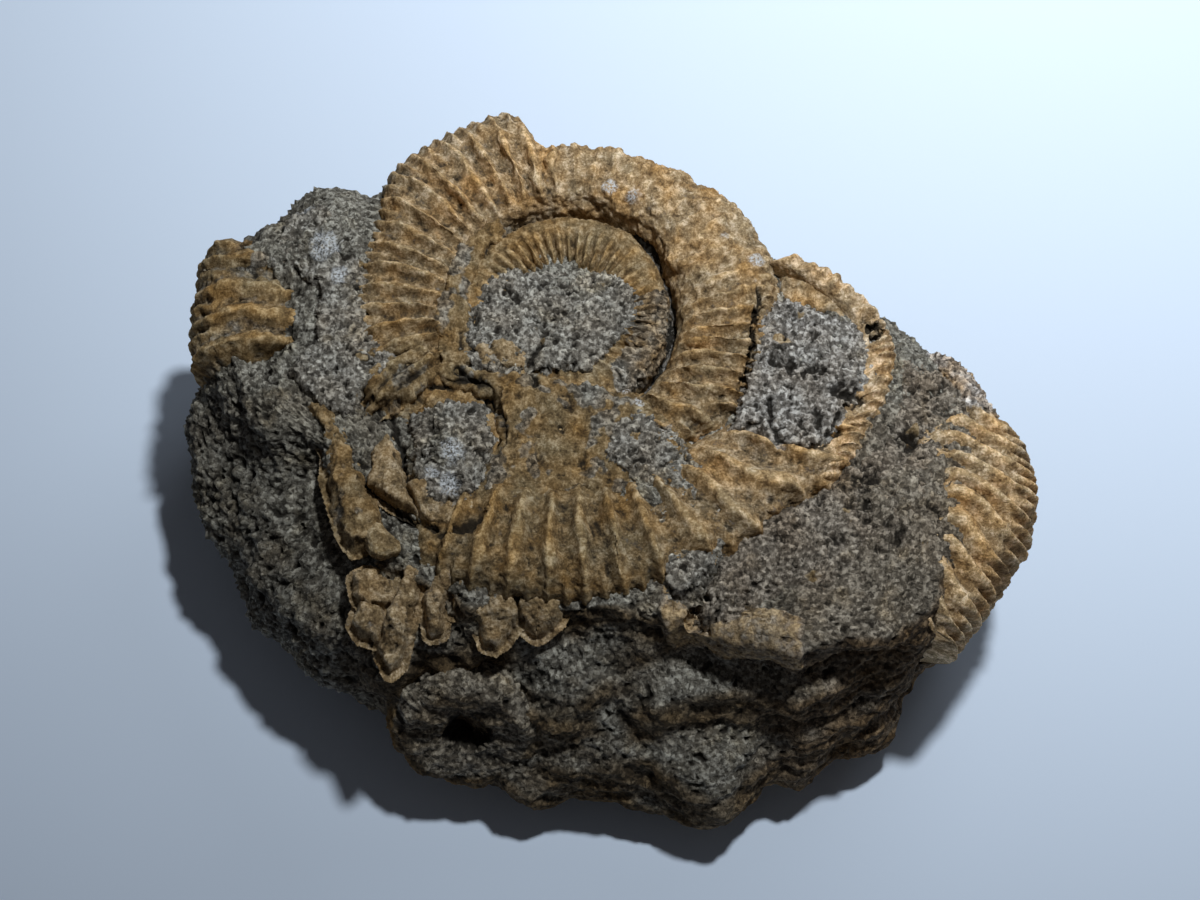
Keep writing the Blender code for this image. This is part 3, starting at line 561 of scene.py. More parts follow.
# White spots are x, y, z and radius. Cracks are a line, a width and a depth. Pits are x, y, radius and depth
WHITE_SPOTS = ((-23.4, -11.0, 44.0, 1.9), (-25.4, -9.6, 44.0, 1.3), (-22.6, -6.0, 44.5, 2.2),
               (1.6, 41.3, 45.0, 1.2), (5.5, 39.8, 45.0, 1.4), (20.0, 32.1, 45.0, 0.7),
               (24.7, 28.0, 44.0, 1.3), (24.4, 24.0, 44.0, 0.9), (-47.5, 38.0, 45.0, 1.7),
               (-43.8, 30.6, 44.5, 2.6), (-41.2, 25.1, 44.0, 1.8), (-11.3, -48.4, 24.0, 1.8),
               (-9.6, -46.5, 22.0, 1.2), (6.0, 2.8, 44.5, 1.0), (4.0, 5.0, 44.5, 0.8))
CRACKS = ((((-9.4, 13.3), (-10.5, 11.0), (-10.8, 8.4), (-9.8, 6.1)), 0.4, 1.4),
          (((25.6, 22.5), (24.4, 17.1), (23.8, 11.8), (22.5, 5.7)), 0.35, 1.9),
          (((-22.5, 8.8), (-19.4, 7.4), (-17.0, 4.6), (-15.7, 1.0), (-15.2, -4.0)), 0.5, 2.2),
          (((26.4, 3.6), (26.6, -0.8), (28.5, -4.5), (31.6, -5.0), (36.3, -2.5), (36.9, 1.0)), 0.45, 1.3),
          (((-36.2, -10.2), (-32.4, -13.6), (-28.2, -16.3), (-25.3, -18.0)), 0.5, 2.0),
          (((-32.3, 1.5), (-31.0, -4.2), (-29.8, -9.4)), 0.4, 1.6),
          (((-24.3, -19.2), (-19.8, -18.2), (-16.5, -15.8)), 0.5, 1.6),
          (((-27.0, 6.8), (-23.0, 6.6), (-19.0, 7.8)), 0.5, 1.6))
PITS = ((48.0, -2.4, 1.1, 2.6), (47.8, -4.0, 0.9, 2.2), (43.8, 15.9, 1.3, 2.0), (42.2, 16.4, 1.1, 1.7),
        (39.0, 4.0, 1.4, 1.6), (37.2, 5.0, 1.1, 1.4), (29.8, 9.3, 1.3, 1.4), (33.0, 8.6, 1.5, 1.3),
        (27.6, 10.4, 1.1, 1.2), (34.2, -0.4, 1.3, 1.2), (42.0, -9.5, 1.2, 1.3), (50.5, -14.0, 1.0, 1.2),
        (40.0, -14.0, 1.1, 1.4), (45.5, -19.5, 1.2, 1.3), (36.0, -20.0, 1.0, 1.2), (53.5, -4.0, 0.9, 1.2))


def looks_of(spot, **given):
    """Looks of some vertices: those given, and none of the others."""
    return {name: np.zeros(len(spot)) + given.get(name, 0.0) for name in LOOKS}


def top_marks(spot, normal):
    """Depth of the cracks and pits of the upper face."""
    up = eased(0.3, 0.7, normal[:, 2]) * eased(30.0, 34.0, spot[:, 2])
    jitter = warped(warped(spot, 2.6, 0.6, 71), 0.9, 0.22, 72)
    depth = np.zeros(len(spot))
    for line, width, deep in CRACKS:
        away = line_distance(jitter[:, 0], jitter[:, 1], line) / width
        depth = np.maximum(depth, deep * np.exp(-away ** 2))
    jitter = warped(spot, 1.9, 1.3, 73)
    for x, y, radius, deep in PITS:
        away = np.hypot(jitter[:, 0] - x, jitter[:, 1] - y) / radius
        depth = np.maximum(depth, deep * np.exp(-away ** 2))
    return depth * up


def gravel(spot, seed=1):
    """Crumbly relief from about -1 to 1, and a tone that changes from grain to grain."""
    bent = warped(spot, 1.7, 0.4, seed + 2)
    large = np.abs(waves(bent, GRAIN_SIZE * 1.5, seed + 11))
    small = np.abs(waves(bent, GRAIN_SIZE * 0.8, seed + 12))
    gap = eased(0.2, 0.75, layers(spot, 1.7, 3, seed + 60))
    rough = layers(spot, 3.2, 3, seed + 40)
    own = np.clip(0.5 + 1.1 * waves(bent, GRAIN_SIZE * 0.9, seed + 9), 0.0, 1.0)
    crumb, _ = domes(bent, GRAIN_SIZE * 1.4, seed + 70)
    return 1.2 * large + 1.1 * small + 0.55 * (crumb - 0.4) - 0.35 + 0.4 * rough - 1.3 * gap, own


def stone_looks(spot, normal):
    """Relief of the bare stone along its normal, and its looks."""
    x, y, z = spot.T
    top = eased(0.35, 0.8, normal[:, 2])
    front = front_wall(normal) * eased(*FRONT_SIDE, x)
    left = eased(*FLANK_SIDE, x) * (1.0 - eased(*FLANK_BACK, y)) * eased(*FLANK_FRONT, y)
    left = np.maximum(left, eased(0.0, -0.5, normal[:, 0]) * (1.0 - front))
    under = eased(-0.3, -0.8, normal[:, 2])
    shelf = patch(spot, LEDGE_FLOOR, 0.8, 95) * eased(*SHELF_FLOOR, z)
    front = front * (1.0 - 0.8 * shelf)
    sand, own = gravel(spot)
    crumb, big = domes(warped(warped(spot, 3.5, 1.0, 9), 1.2, 0.3, 8), CRUMB_SIZE, 2)
    clods = layers(spot, CLOD_SIZE, 4, 19)
    slabs = layers(spot * np.array(SLAB_SHAPE), SLAB_SIZE, 4, 23)
    ridged = 1.0 - np.abs(layers(spot * np.array(CRAG_SHAPE), CRAG_SIZE, 4, 29))
    coarse = np.clip(left + 0.35 * (1.0 - top) * (1.0 - front), 0.0, 1.0)
    smooth = np.clip(front + under, 0.0, 1.0)
    relief = 0.55 * sand * (1.0 - 0.5 * np.maximum(1.5 * smooth, shelf))
    relief += coarse * (0.55 * (crumb * (0.5 + 0.7 * big) - 0.5) + 0.5 * clods)
    relief += front * (1.0 * slabs + 0.9 * (ridged - 0.6))
    marks = top_marks(spot, normal)
    ring = np.hypot(x - CENTRE[0], y - CENTRE[1])
    turn = np.degrees(np.arctan2(y - CENTRE[1], x - CENTRE[0]))
    # The groove round the inner whorl, where the middle whorl's wall shadows it, is cut into the relief and
    # painted dark as that shadow
    shadowed_groove = np.exp(-((ring - RING_RADIUS) / RING_WIDTH) ** 2) * top
    shadowed_groove = shadowed_groove * eased(*RING_ENDS, np.abs(turn - RING_TURN))
    relief -= marks + RING_DEPTH * shadowed_groove
    # Painted highlight on grains, lumps and crests, and painted shade in their gaps, in cracks and pits and
    # in the shadowed groove
    crest = 0.5 + 0.42 * sand * (1.0 - 0.7 * front) + coarse * (0.5 * (crumb - 0.5) + 0.35 * clods)
    crest += front * 0.5 * (slabs * 0.6 + ridged - 0.7)
    crest -= 0.6 * np.minimum(marks, 1.5) + 1.5 * shadowed_groove
    # The ledge floor is painted lighter where its recess would shade it; its ochre shell, rust and rise are
    # its own
    crest += 0.3 * shelf
    low = eased(*STAIN_HEIGHT, z + 3.0 * waves(spot, 9.0, 77))
    rust = np.clip(0.30 * waves(spot, 8.0, 83) + 0.75 * front + 0.6 * low + 0.4 * shelf, 0.0, 1.0)
    # Painted shade on the front wall and left flank, which face away from the light, with less of it towards
    # the right
    shade = np.clip(0.7 * front * (1.0 - 0.5 * eased(12.0, 34.0, x)) + 0.35 * left, 0.0, 1.0)
    shell = 0.5 * shelf
    relief += SHELF_RISE * shelf
    lime = spots_of(spot, WHITE_SPOTS, SPECK_SEED)
    pink = eased(*PINK_SIDE, x) * eased(*PINK_FRONT, y)
    return relief, looks_of(spot, shell=shell, crest=crest, rust=rust, lime=lime, shade=shade, pink=pink,
                            own=own, pale=shell * 0.5)


def ground_looks(spot, normal, kind):
    """Relief and looks of ground of a kind: grey, light, pink, crust, ochre, ribbed or shard."""
    sand, own = gravel(spot)
    marks = top_marks(spot, normal)
    lime = spots_of(spot, WHITE_SPOTS, SPECK_SEED)
    broad = waves(spot, 5.0, 83)
    if kind in ("grey", "light", "pink"):
        relief = 0.55 * sand + 0.3 * broad
        shell = eased(0.55, 0.9, waves(spot, 4.0, 140) + 0.3 * waves(spot, 1.3, 141)) * 0.8
        rust = np.clip(0.25 * broad + 0.1, 0.0, 1.0)
    else:
        streaks = layers(spot * np.array([1.0, 0.35, 1.0]), 1.8, 3, 150)
        clods = layers(spot, CLOD_SIZE, 4, 151)
        relief = 0.22 * sand + 0.3 * streaks + 0.4 * clods
        sand = 0.5 * sand + 0.6 * streaks + 0.3 * clods
        if kind == "ribbed":
            bent = warped(spot, 4.0, 0.4, 154)
            ridge = np.cos(2.0 * math.pi * (bent[:, :2] @ np.array(RIDGE_WAY)) / RIDGE_SPACING)
            relief += 0.6 * ridge
            sand += 0.9 * ridge
        shell = np.clip(SHELL_GROUND[kind] - 0.5 * eased(0.1, 0.5, layers(spot, 4.2, 3, 152)), 0.0, 1.0)
        rust = np.clip(0.45 + 0.6 * waves(spot, 3.6, 153), 0.0, 1.0) * (0.5 if kind == "shard" else 1.0)
    # Painted highlight on the tops of grains, and painted shade between them and in cracks and pits
    crest = 0.5 + 0.42 * sand - 0.6 * np.minimum(marks, 1.5)
    return relief - marks, looks_of(spot, shell=shell, crest=crest, rust=rust, lime=lime, own=own,
                                    pale=PALE_GROUND[kind], pink=float(kind == "pink"))


def shell_looks(spot, normal, rib, crust, cover, dirt=0.4, pale=0.1):
    """Relief of shell along its normal, and its looks, with what covers it, the dirt in its troughs and
    how far it is painted paler, partly as faded shell and partly as painted light.
    """
    up = eased(0.1, 0.5, normal[:, 2])
    scratch = np.abs(layers(spot, 1.1, 3, 101))
    fine = layers(spot, 0.9, 2, 105)
    broad = layers(spot, 6.0, 2, 103)
    lumpy = layers(spot, 1.9, 4, 107)
    sand, own = gravel(spot)
    blotch = 0.6 * waves(spot, 5.2, 109) + 0.4 * layers(spot, 2.1, 3, 113)
    patches = 0.6 * eased(0.45, 0.8, blotch)
    filled = dirt * eased(0.12, -0.22, rib + 0.35 * blotch)
    grey = np.clip(np.maximum(cover, np.maximum(patches, filled)), 0.0, 1.0)
    swollen = layers(spot, 4.4, 2, 108)
    relief = 0.13 * fine - 0.2 * scratch + 0.28 * broad + crust * (0.4 * lumpy + 0.55 * swollen)
    relief += grey * (0.45 * sand + 0.12)
    marks = top_marks(spot, normal)
    relief -= marks
    tint = layers(spot, 3.0, 3, 111)
    # Painted highlight on rib crests, and painted shade in troughs, cracks and pits
    crest = 0.66 + 0.85 * rib + 0.15 * fine - 0.2 * scratch + 0.12 * tint
    crest = crest + crust * (0.22 * lumpy + 0.12 * swollen)
    crest = crest * (1.0 - grey) + grey * (0.5 + 0.42 * sand + 0.4 * rib)
    crest -= 0.7 * np.minimum(marks, 1.5)
    rust = np.clip(0.42 + 0.55 * waves(spot, 6.5, 127) + 0.45 * layers(spot, 2.4, 2, 131), 0.0, 1.0)
    lime = spots_of(spot, WHITE_SPOTS, SPECK_SEED) * up
    return relief, looks_of(spot, shell=1.0 - 0.85 * grey, crest=crest, rust=rust, lime=lime, own=own,
                            pale=pale)


# Material: one stone, whose minerals, painted light and painted shade follow what each vertex keeps
GREY_STOPS = ((0.27, (0.034, 0.030, 0.024)), (0.52, (0.15, 0.137, 0.113)), (0.8, (0.47, 0.45, 0.39)))
OCHRE_STOPS = ((0.34, (0.060, 0.038, 0.017)), (0.5, (0.205, 0.146, 0.070)), (0.64, (0.43, 0.345, 0.215)))
PINK_TINT = (0.86, 0.76, 0.68)   # tints multiply the colour below them
WARM_TINT = (1.05, 0.95, 0.78)
FRESH_TINT = (0.99, 1.0, 1.04)
RUST_TINT = (1.08, 0.79, 0.42)
STAIN_TINT = (0.78, 0.52, 0.25)
PALE_TINT = (2.3, 2.33, 2.7)
CREST_HIGHLIGHT_TINT = (1.45, 1.45, 1.42)
SHADE_TINT = (0.42, 0.40, 0.36)
PORE_COLOUR = (0.014, 0.012, 0.009)
HOLLOW_SHADE_COLOUR = (0.012, 0.009, 0.006)
LIME_COLOUR = (0.62, 0.64, 0.66)
SPECULAR = 0.25
ROUGHNESS = 0.94
LIME_ROUGHNESS = 0.42
SPECK_SIZE = 0.55
BUMP_STRENGTH = 0.7
BUMP_DEPTH = 0.35


def limestone():
    """Grey matrix and ochre shell, each stained, with painted highlight on its crests and painted shade in
    its hollows.
    """
    material = bpy.data.materials.new("weathered_limestone")
    material.use_nodes = True
    tree = material.node_tree
    shader = tree.nodes["Principled BSDF"]
    shader.inputs["Metallic"].default_value = 0.0
    shader.inputs["Specular IOR Level"].default_value = SPECULAR

    def link(out, socket):
        tree.links.new(out, socket)

    def kept(name):
        node = tree.nodes.new("ShaderNodeAttribute")
        node.attribute_name = name
        return node.outputs["Fac"]

    place = tree.nodes.new("ShaderNodeTexCoord").outputs["Object"]

    def grain(size, detail, roughness):
        node = tree.nodes.new("ShaderNodeTexNoise")
        node.inputs["Scale"].default_value = 1.0 / (size * MM)
        node.inputs["Detail"].default_value = detail
        node.inputs["Roughness"].default_value = roughness
        link(place, node.inputs["Vector"])
        return node.outputs["Fac"]

    def maths(kind, first, second):
        node = tree.nodes.new("ShaderNodeMath")
        node.operation = kind
        for socket, value in zip(node.inputs, (first, second)):
            if isinstance(value, (int, float)):
                socket.default_value = value
            else:
                link(value, socket)
        return node.outputs[0]

    def ramp(value, *stops):
        node = tree.nodes.new("ShaderNodeValToRGB")
        elements = node.color_ramp.elements
        while len(elements) < len(stops):
            elements.new(0.5)
        for element, (at, colour) in zip(elements, stops):
            element.position = at
            element.color = (*colour, 1.0)
        link(value, node.inputs["Fac"])
        return node.outputs["Color"]

    def mixed(factor, first, second, kind="MIX"):
        node = tree.nodes.new("ShaderNodeMix")
        node.data_type = "RGBA"
        node.blend_type = kind
        node.clamp_factor = True
        if isinstance(factor, float):
            node.inputs["Factor"].default_value = factor
        else:
            link(factor, node.inputs["Factor"])
        for socket, value in zip((node.inputs["A"], node.inputs["B"]), (first, second)):
            if isinstance(value, tuple):
                socket.default_value = (*value, 1.0)
            else:
                link(value, socket)
        return node.outputs["Result"]

    def tinted(share, value, tint):
        return mixed(share, value, mixed(1.0, value, tint, "MULTIPLY"))

    def times(first, second):
        return maths("MULTIPLY", first, second)

    def spread(value, low, high):
        node = tree.nodes.new("ShaderNodeMapRange")
        node.interpolation_type = "SMOOTHSTEP"
        node.inputs["From Min"].default_value = low
        node.inputs["From Max"].default_value = high
        link(value, node.inputs["Value"])
        return node.outputs["Result"]

    fine = grain(0.4, 3.0, 0.75)
    middling = grain(1.6, 5.0, 0.65)
    wide = grain(7.0, 4.0, 0.6)
    speck = tree.nodes.new("ShaderNodeTexVoronoi")
    speck.inputs["Scale"].default_value = 1.0 / (SPECK_SIZE * MM)
    link(place, speck.inputs["Vector"])
    single = tree.nodes.new("ShaderNodeSeparateColor")
    link(speck.outputs["Color"], single.inputs["Color"])

    # Grey matrix and ochre shell
    tone = maths("ADD", times(kept("own"), 0.22), times(single.outputs["Red"], 0.33))
    grey = ramp(maths("ADD", tone, times(fine, 0.55)), *GREY_STOPS)
    grey = tinted(times(kept("pink"), 0.75), grey, PINK_TINT)
    grey = tinted(spread(wide, 0.5, 0.75), grey, WARM_TINT)
    ochre = ramp(maths("ADD", times(middling, 0.75), times(fine, 0.25)), *OCHRE_STOPS)
    ochre = mixed(times(kept("rust"), 0.75), mixed(1.0, ochre, FRESH_TINT, "MULTIPLY"),
                  mixed(1.0, ochre, RUST_TINT, "MULTIPLY"))
    edge = maths("ADD", kept("shell"), times(maths("SUBTRACT", middling, 0.5), 0.7))
    colour = mixed(spread(edge, 0.35, 0.65), tinted(times(kept("rust"), 0.9), grey, STAIN_TINT), ochre)

    # Paleness with painted light, pores, painted highlight on crests, painted shade in hollows, painted
    # shade on faces turned from the light, and white specks
    colour = tinted(times(kept("pale"), 0.666), colour, PALE_TINT)
    pores = spread(grain(0.5, 2.0, 0.6), 0.43, 0.34)
    bare = maths("SUBTRACT", 0.65, times(kept("shell"), 0.65))
    colour = mixed(times(pores, bare), colour, PORE_COLOUR)
    # Painted highlight on crests, and painted shade in hollows, cracks, pits and the groove round the inner
    # whorl
    painted_relief_light = maths("ADD", kept("crest"), times(maths("SUBTRACT", fine, 0.5), 0.35))
    colour = tinted(spread(painted_relief_light, 0.55, 1.05), colour, CREST_HIGHLIGHT_TINT)
    colour = mixed(times(spread(painted_relief_light, 0.5, 0.0), 0.93), colour, HOLLOW_SHADE_COLOUR)
    # Painted shade on faces turned away from the light
    colour = tinted(kept("shade"), colour, SHADE_TINT)
    white = times(kept("lime"), spread(fine, 0.38, 0.62))
    link(mixed(white, colour, LIME_COLOUR), shader.inputs["Base Color"])
    rough = tree.nodes.new("ShaderNodeMapRange")
    rough.inputs["To Min"].default_value = ROUGHNESS
    rough.inputs["To Max"].default_value = LIME_ROUGHNESS
    link(white, rough.inputs["Value"])
    link(rough.outputs["Result"], shader.inputs["Roughness"])

    bump = tree.nodes.new("ShaderNodeBump")
    bump.inputs["Strength"].default_value = BUMP_STRENGTH
    bump.inputs["Distance"].default_value = BUMP_DEPTH * MM
    link(maths("ADD", times(fine, 0.7), times(grain(0.22, 2.0, 0.6), 0.4)), bump.inputs["Height"])
    link(bump.outputs["Normal"], shader.inputs["Normal"])
    return material


STONE = limestone()
SHIFT = np.array((*ORIGIN_SHIFT, 0.0))
BOX_MARGIN = 0.02
LOWEST = np.array(CAD_BOX[0]) / MM + SHIFT + BOX_MARGIN
HIGHEST = np.array(CAD_BOX[1]) / MM + SHIFT - BOX_MARGIN


def put(name, data):
    """A new object in the scene."""
    thing = bpy.data.objects.new(name, data)
    bpy.context.scene.collection.objects.link(thing)
    return thing


def add_piece(mesh, spot, looks, sharp=None):
    """Give a mesh its final points and looks, and make it a piece of the block."""
    metres = (np.clip(spot, LOWEST, HIGHEST) - SHIFT) * MM
    mesh.vertices.foreach_set("co", metres.ravel())
    for name, values in looks.items():
        kept = mesh.attributes.new(name, "FLOAT", "POINT")
        kept.data.foreach_set("value", np.clip(values, -0.5, 1.5).astype(np.float32))
    mesh.materials.append(STONE)
    mesh.shade_smooth()
    if sharp is not None:
        mark = mesh.attributes.new("sharp_edge", "BOOLEAN", "EDGE")
        mark.data.foreach_set("value", sharp)
    mesh.update()
    piece = put(mesh.name, mesh)
    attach(piece, "root")
    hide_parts("ammonite_block")


def make_stone():
    """The bare stone, in an upper and a lower piece that share their cut."""
    work = bmesh.new()
    bmesh.ops.create_icosphere(work, subdivisions=STONE_SPLITS, radius=1.0)
    ball = bpy.data.meshes.new("ball")
    work.to_mesh(ball)
    work.free()
    directions = points_of(ball)
    directions /= np.linalg.norm(directions, axis=1, keepdims=True)
    faces = np.empty(len(ball.polygons) * 3, dtype=np.int32)
    ball.polygons.foreach_get("vertices", faces)
    faces = faces.reshape(-1, 3)
    spot = stone_surface(directions)
    ball.vertices.foreach_set("co", spot.ravel())
    ball.update()
    normal = normals_of(ball)
    wall = front_wall(normal)
    lump = np.array([noise.noise(row) for row in (spot / LUMP_SIZE).tolist()])
    pebble = np.array([noise.noise(row) for row in (spot / PEBBLE_SIZE).tolist()])
    rise = lump * (LUMP_HEIGHT + WALL_LUMP * wall) + pebble * PEBBLE_HEIGHT - ledge_groove(spot)
    spot = spot + normal * rise[:, None]
    ball.vertices.foreach_set("co", spot.ravel())
    ball.update()
    normal = normals_of(ball)
    relief, looks = stone_looks(spot, normal)
    spot = spot + normal * relief[:, None]
    bpy.data.meshes.remove(ball)
    height = directions[faces, 2].mean(axis=1)
    for name, chosen in (("matrix_upper", height > STONE_CUT), ("matrix_lower", height <= STONE_CUT)):
        half_piece(name, faces[chosen], spot, looks)


def half_piece(name, faces, spot, looks, deeper=0.0):
    """One part of a closed surface, closed again by a fan to its middle, or to a point deeper than that."""
    used = np.unique(faces)
    place = np.full(len(spot), -1)
    place[used] = np.arange(len(used))
    faces = place[faces]
    ways = np.concatenate([faces[:, [0, 1]], faces[:, [1, 2]], faces[:, [2, 0]]])
    code = ways[:, 0] * (len(used) + 1) + ways[:, 1]
    back = ways[:, 1] * (len(used) + 1) + ways[:, 0]
    rim = ways[~np.isin(back, code)]
    middle = spot[used[rim[:, 0]]].mean(axis=0) - np.array([0.0, 0.0, deeper])
    points = np.concatenate([spot[used], middle[None]])
    fan = np.stack([rim[:, 1], rim[:, 0], np.full(len(rim), len(used))], axis=1)
    every = np.concatenate([faces, fan])
    mesh, _ = new_mesh(name, points, every.tolist())
    pairs = np.empty(len(mesh.edges) * 2, dtype=np.int64)
    mesh.edges.foreach_get("vertices", pairs)
    pairs = np.sort(pairs.reshape(-1, 2), axis=1)
    rim = np.sort(rim, axis=1)
    sharp = np.isin(pairs[:, 0] * (len(used) + 1) + pairs[:, 1], rim[:, 0] * (len(used) + 1) + rim[:, 1])
    kept = {key: np.append(values[used], 0.5) for key, values in looks.items()}
    add_piece(mesh, points, kept, sharp)


def make_cover(name, outline, kind, spacing, heights, number):
    """Ground that lies over or between the whorls, as a closed lens set into the stone."""
    drop, edge, rag = SHARD_EDGE if kind == "shard" else COVER_EDGE
    low = np.array(outline).min(axis=0) - COVER_MARGIN
    high = np.array(outline).max(axis=0) + COVER_MARGIN
    x, y = np.meshgrid(np.arange(low[0], high[0], spacing), np.arange(low[1], high[1], spacing * ROW_SHARE))
    x[1::2] += spacing / 2.0
    reach = inward(x.ravel(), y.ravel(), outline)
    heights = np.array(heights, dtype=float)
    away = (x.ravel()[:, None] - heights[:, 0]) ** 2 + (y.ravel()[:, None] - heights[:, 1]) ** 2
    weight = 1.0 / (away + 3.0) ** 1.5
    z = (weight * heights[:, 2]).sum(axis=1) / weight.sum(axis=1)
    spot = np.stack([x.ravel(), y.ravel(), z], axis=1)
    ragged = reach + rag * (0.7 * waves(spot, 3.4, 400 + number) + 0.4 * waves(spot, 1.3, 420 + number))
    spot[:, 2] -= drop * (1.0 - eased(-0.5 * edge, edge, ragged)) + 0.3 * (1.0 - eased(0.5, 3.0, ragged))
    inside = reach > -0.9 * COVER_MARGIN
    index = np.arange(x.size).reshape(x.shape)
    faces = []
    for row in range(x.shape[0] - 1):
        a, b = index[row, :-1], index[row, 1:]
        c, d = index[row + 1, :-1], index[row + 1, 1:]
        pair = ((a, b, c), (b, d, c)) if row % 2 == 0 else ((a, b, d), (a, d, c))
        faces.extend(np.stack(three, axis=1) for three in pair)
    faces = np.concatenate(faces)
    closed_piece(name, faces[inside[faces].all(axis=1)], spot, kind)


def make_covers():
    for number, row in enumerate(COVERS):
        make_cover(*row, number)
    for number, (outline, heights) in enumerate(SHARDS):
        make_cover(f"shard_{number + 1}", outline, "shard", SHARD_SPACING, heights, 30 + number)


def closed_piece(name, faces, spot, kind):
    """Ground given by its upper faces, closed below by a fan to a point inside the stone."""
    mesh, normal = new_mesh("rough", spot, faces.tolist())
    relief, looks = ground_looks(spot, normal, kind)
    bpy.data.meshes.remove(mesh)
    half_piece(name, faces, spot + normal * relief[:, None], looks, COVER_DEPTH)


def section_turns(dense):
    """Angles round a whorl's section, close together where it shows and wide apart below."""
    seen = np.linspace(-SECTION_DIP, 1.0 + SECTION_DIP, dense, endpoint=False)
    unseen = np.linspace(1.0 + SECTION_DIP, 2.0 - SECTION_DIP, UNSEEN_STEPS, endpoint=False)
    return np.concatenate([seen, unseen]) * math.pi


def ribs(turns, sideways, sharpness, parts=2):
    """Height of the ribs for a height of 1, at a count of ribs along the whorl."""
    single = (0.5 + 0.5 * np.cos(2.0 * math.pi * turns)) ** sharpness
    split = (0.5 + 0.5 * np.cos(2.0 * math.pi * parts * turns)) ** sharpness
    return single * (1.0 - sideways) + SPLIT_HEIGHT * split * sideways - RIB_BASE


def steady(value):
    """A table of (degrees, value) rows that is the same all the way round."""
    return (0, value), (180, value)


# A whorl's form where it gives no value of its own
PLAIN_FORM = {"ribs": RIBS_PER_TURN,
              "power": SECTION_POWER,
              "middle": WHORL_MIDDLE,
              "sinks": np.zeros_like,      # how far its top has sunk, by degrees
              "taper": (0.0, 0.0),         # degrees over which it thins out at its two ends
              "tilt": 0.0,                 # how much higher its outer side is than its middle
              "lean": RIB_LEAN,
              "root": ROOT_SPAN,
              "splits": SPLIT_SPAN,
              "parts": 2,                  # how many a rib splits into
              "fade": (0.0, 1.0, 0.0),     # where across it ribs fade, from and to, and how far
              "gain": 1.0,                 # how much bolder ribs are than in the solid
              "out": 0.6,                  # how much of a rib's height goes into the outline from above
              "contrast": 1.0,             # how much lighter ribs are painted than the troughs, as painted highlight and shade
              "covers": (),                # outlines of matrix that lies over it
              "under": 0.0,                # how far it lies below them
              "dirt": 0.4,                 # how much matrix its troughs hold
              # how far it is painted paler by degrees: faded shell, and painted light where the light falls
              # strongest
              "pale": steady(0.1)}


def make_whorl(name, span, inner, outer, own_form):
    """Ribbed tube of one turn, or a stretch of it, round the spiral's centre."""
    form = {**PLAIN_FORM, **own_form}
    start, stop = span
    closed = stop - start >= 360.0
    count = form["ribs"]
    stations = int(count * form["fine"] * (stop - start) / 360.0) + (0 if closed else 1)
    degrees = np.linspace(start, stop, stations, endpoint=not closed)
    turn = section_turns(form["section"])[None, :]
    near = inner(degrees)[:, None]
    far = outer(degrees)[:, None]
    sink = form["sinks"](degrees)[:, None]
    first, last = form["taper"]
    taper = np.minimum(eased(-0.01, first, degrees - start), eased(-0.01, last, stop - degrees))[:, None]
    taper = TAPER_END + (1.0 - TAPER_END) * (1.0 if closed else taper)
    across = -np.sign(np.cos(turn)) * np.abs(np.cos(turn)) ** form["power"]
    upward = np.sign(np.sin(turn)) * np.abs(np.sin(turn)) ** form["power"]
    radius = (near + far) / 2.0 + (far - near) / 2.0 * across * taper
    angle = np.radians(degrees)[:, None]
    flat = grid_points(radius * np.cos(angle), radius * np.sin(angle), 0.0)
    wander = (0.16 * waves(flat, 6.0, 5) + 0.07 * waves(flat, 2.5, 7)).reshape(radius.shape)
    strength = 1.0 + 0.4 * waves(flat, 4.5, 6).reshape(radius.shape)
    lean = np.tan(np.radians(round_curve(form["lean"], degrees)))[:, None]
    place = (degrees[:, None] - np.degrees(lean * np.log(radius / near))) / 360.0 * count + wander
    rib = ribs(place, eased(*form["splits"], across), form["sharp"], form["parts"])
    fade_from, fade_to, fade = form["fade"]
    rib = rib * eased(*form["root"], across) * (1.0 - fade * eased(fade_from, fade_to, across))
    rib = rib * round_curve(form["wear"], degrees)[:, None] * strength * taper ** 2
    height = form["rib"] * form["gain"] * rib
    radius = radius + height * across * form["out"]
    z = form["middle"] + ((form["half"] - sink) * taper + height) * upward
    z = z + form["tilt"] * across * np.maximum(upward, 0.0)
    spot = grid_points(CENTRE[0] + radius * np.cos(angle), CENTRE[1] + radius * np.sin(angle), z)
    mesh, normal = new_mesh(name, spot, tube_faces(stations, turn.size, closed))
    wide = np.broadcast_to(degrees[:, None], radius.shape).ravel()
    crust = round_curve(form["crust"], wide)
    cover = np.zeros(len(spot))
    for number, outline in enumerate(form["covers"]):
        cover = np.maximum(cover, patch(spot, outline, 1.3, 200 + number))
    pale = round_curve(form["pale"], wide)
    seen = form["contrast"] * rib.ravel()
    relief, looks = shell_looks(spot, normal, seen, crust, cover, form["dirt"], pale)
    spot[:, 2] -= form["under"] * cover
    add_piece(mesh, spot + normal * relief[:, None], looks)


def middle_sinks(degrees):
    return round_curve(MIDDLE_SINKS, degrees)


def outer_sinks(degrees):
    return OUTER_DEPTH * eased(*OUTER_RISE, degrees) + OUTER_SINK * eased(*OUTER_BREAK, degrees)


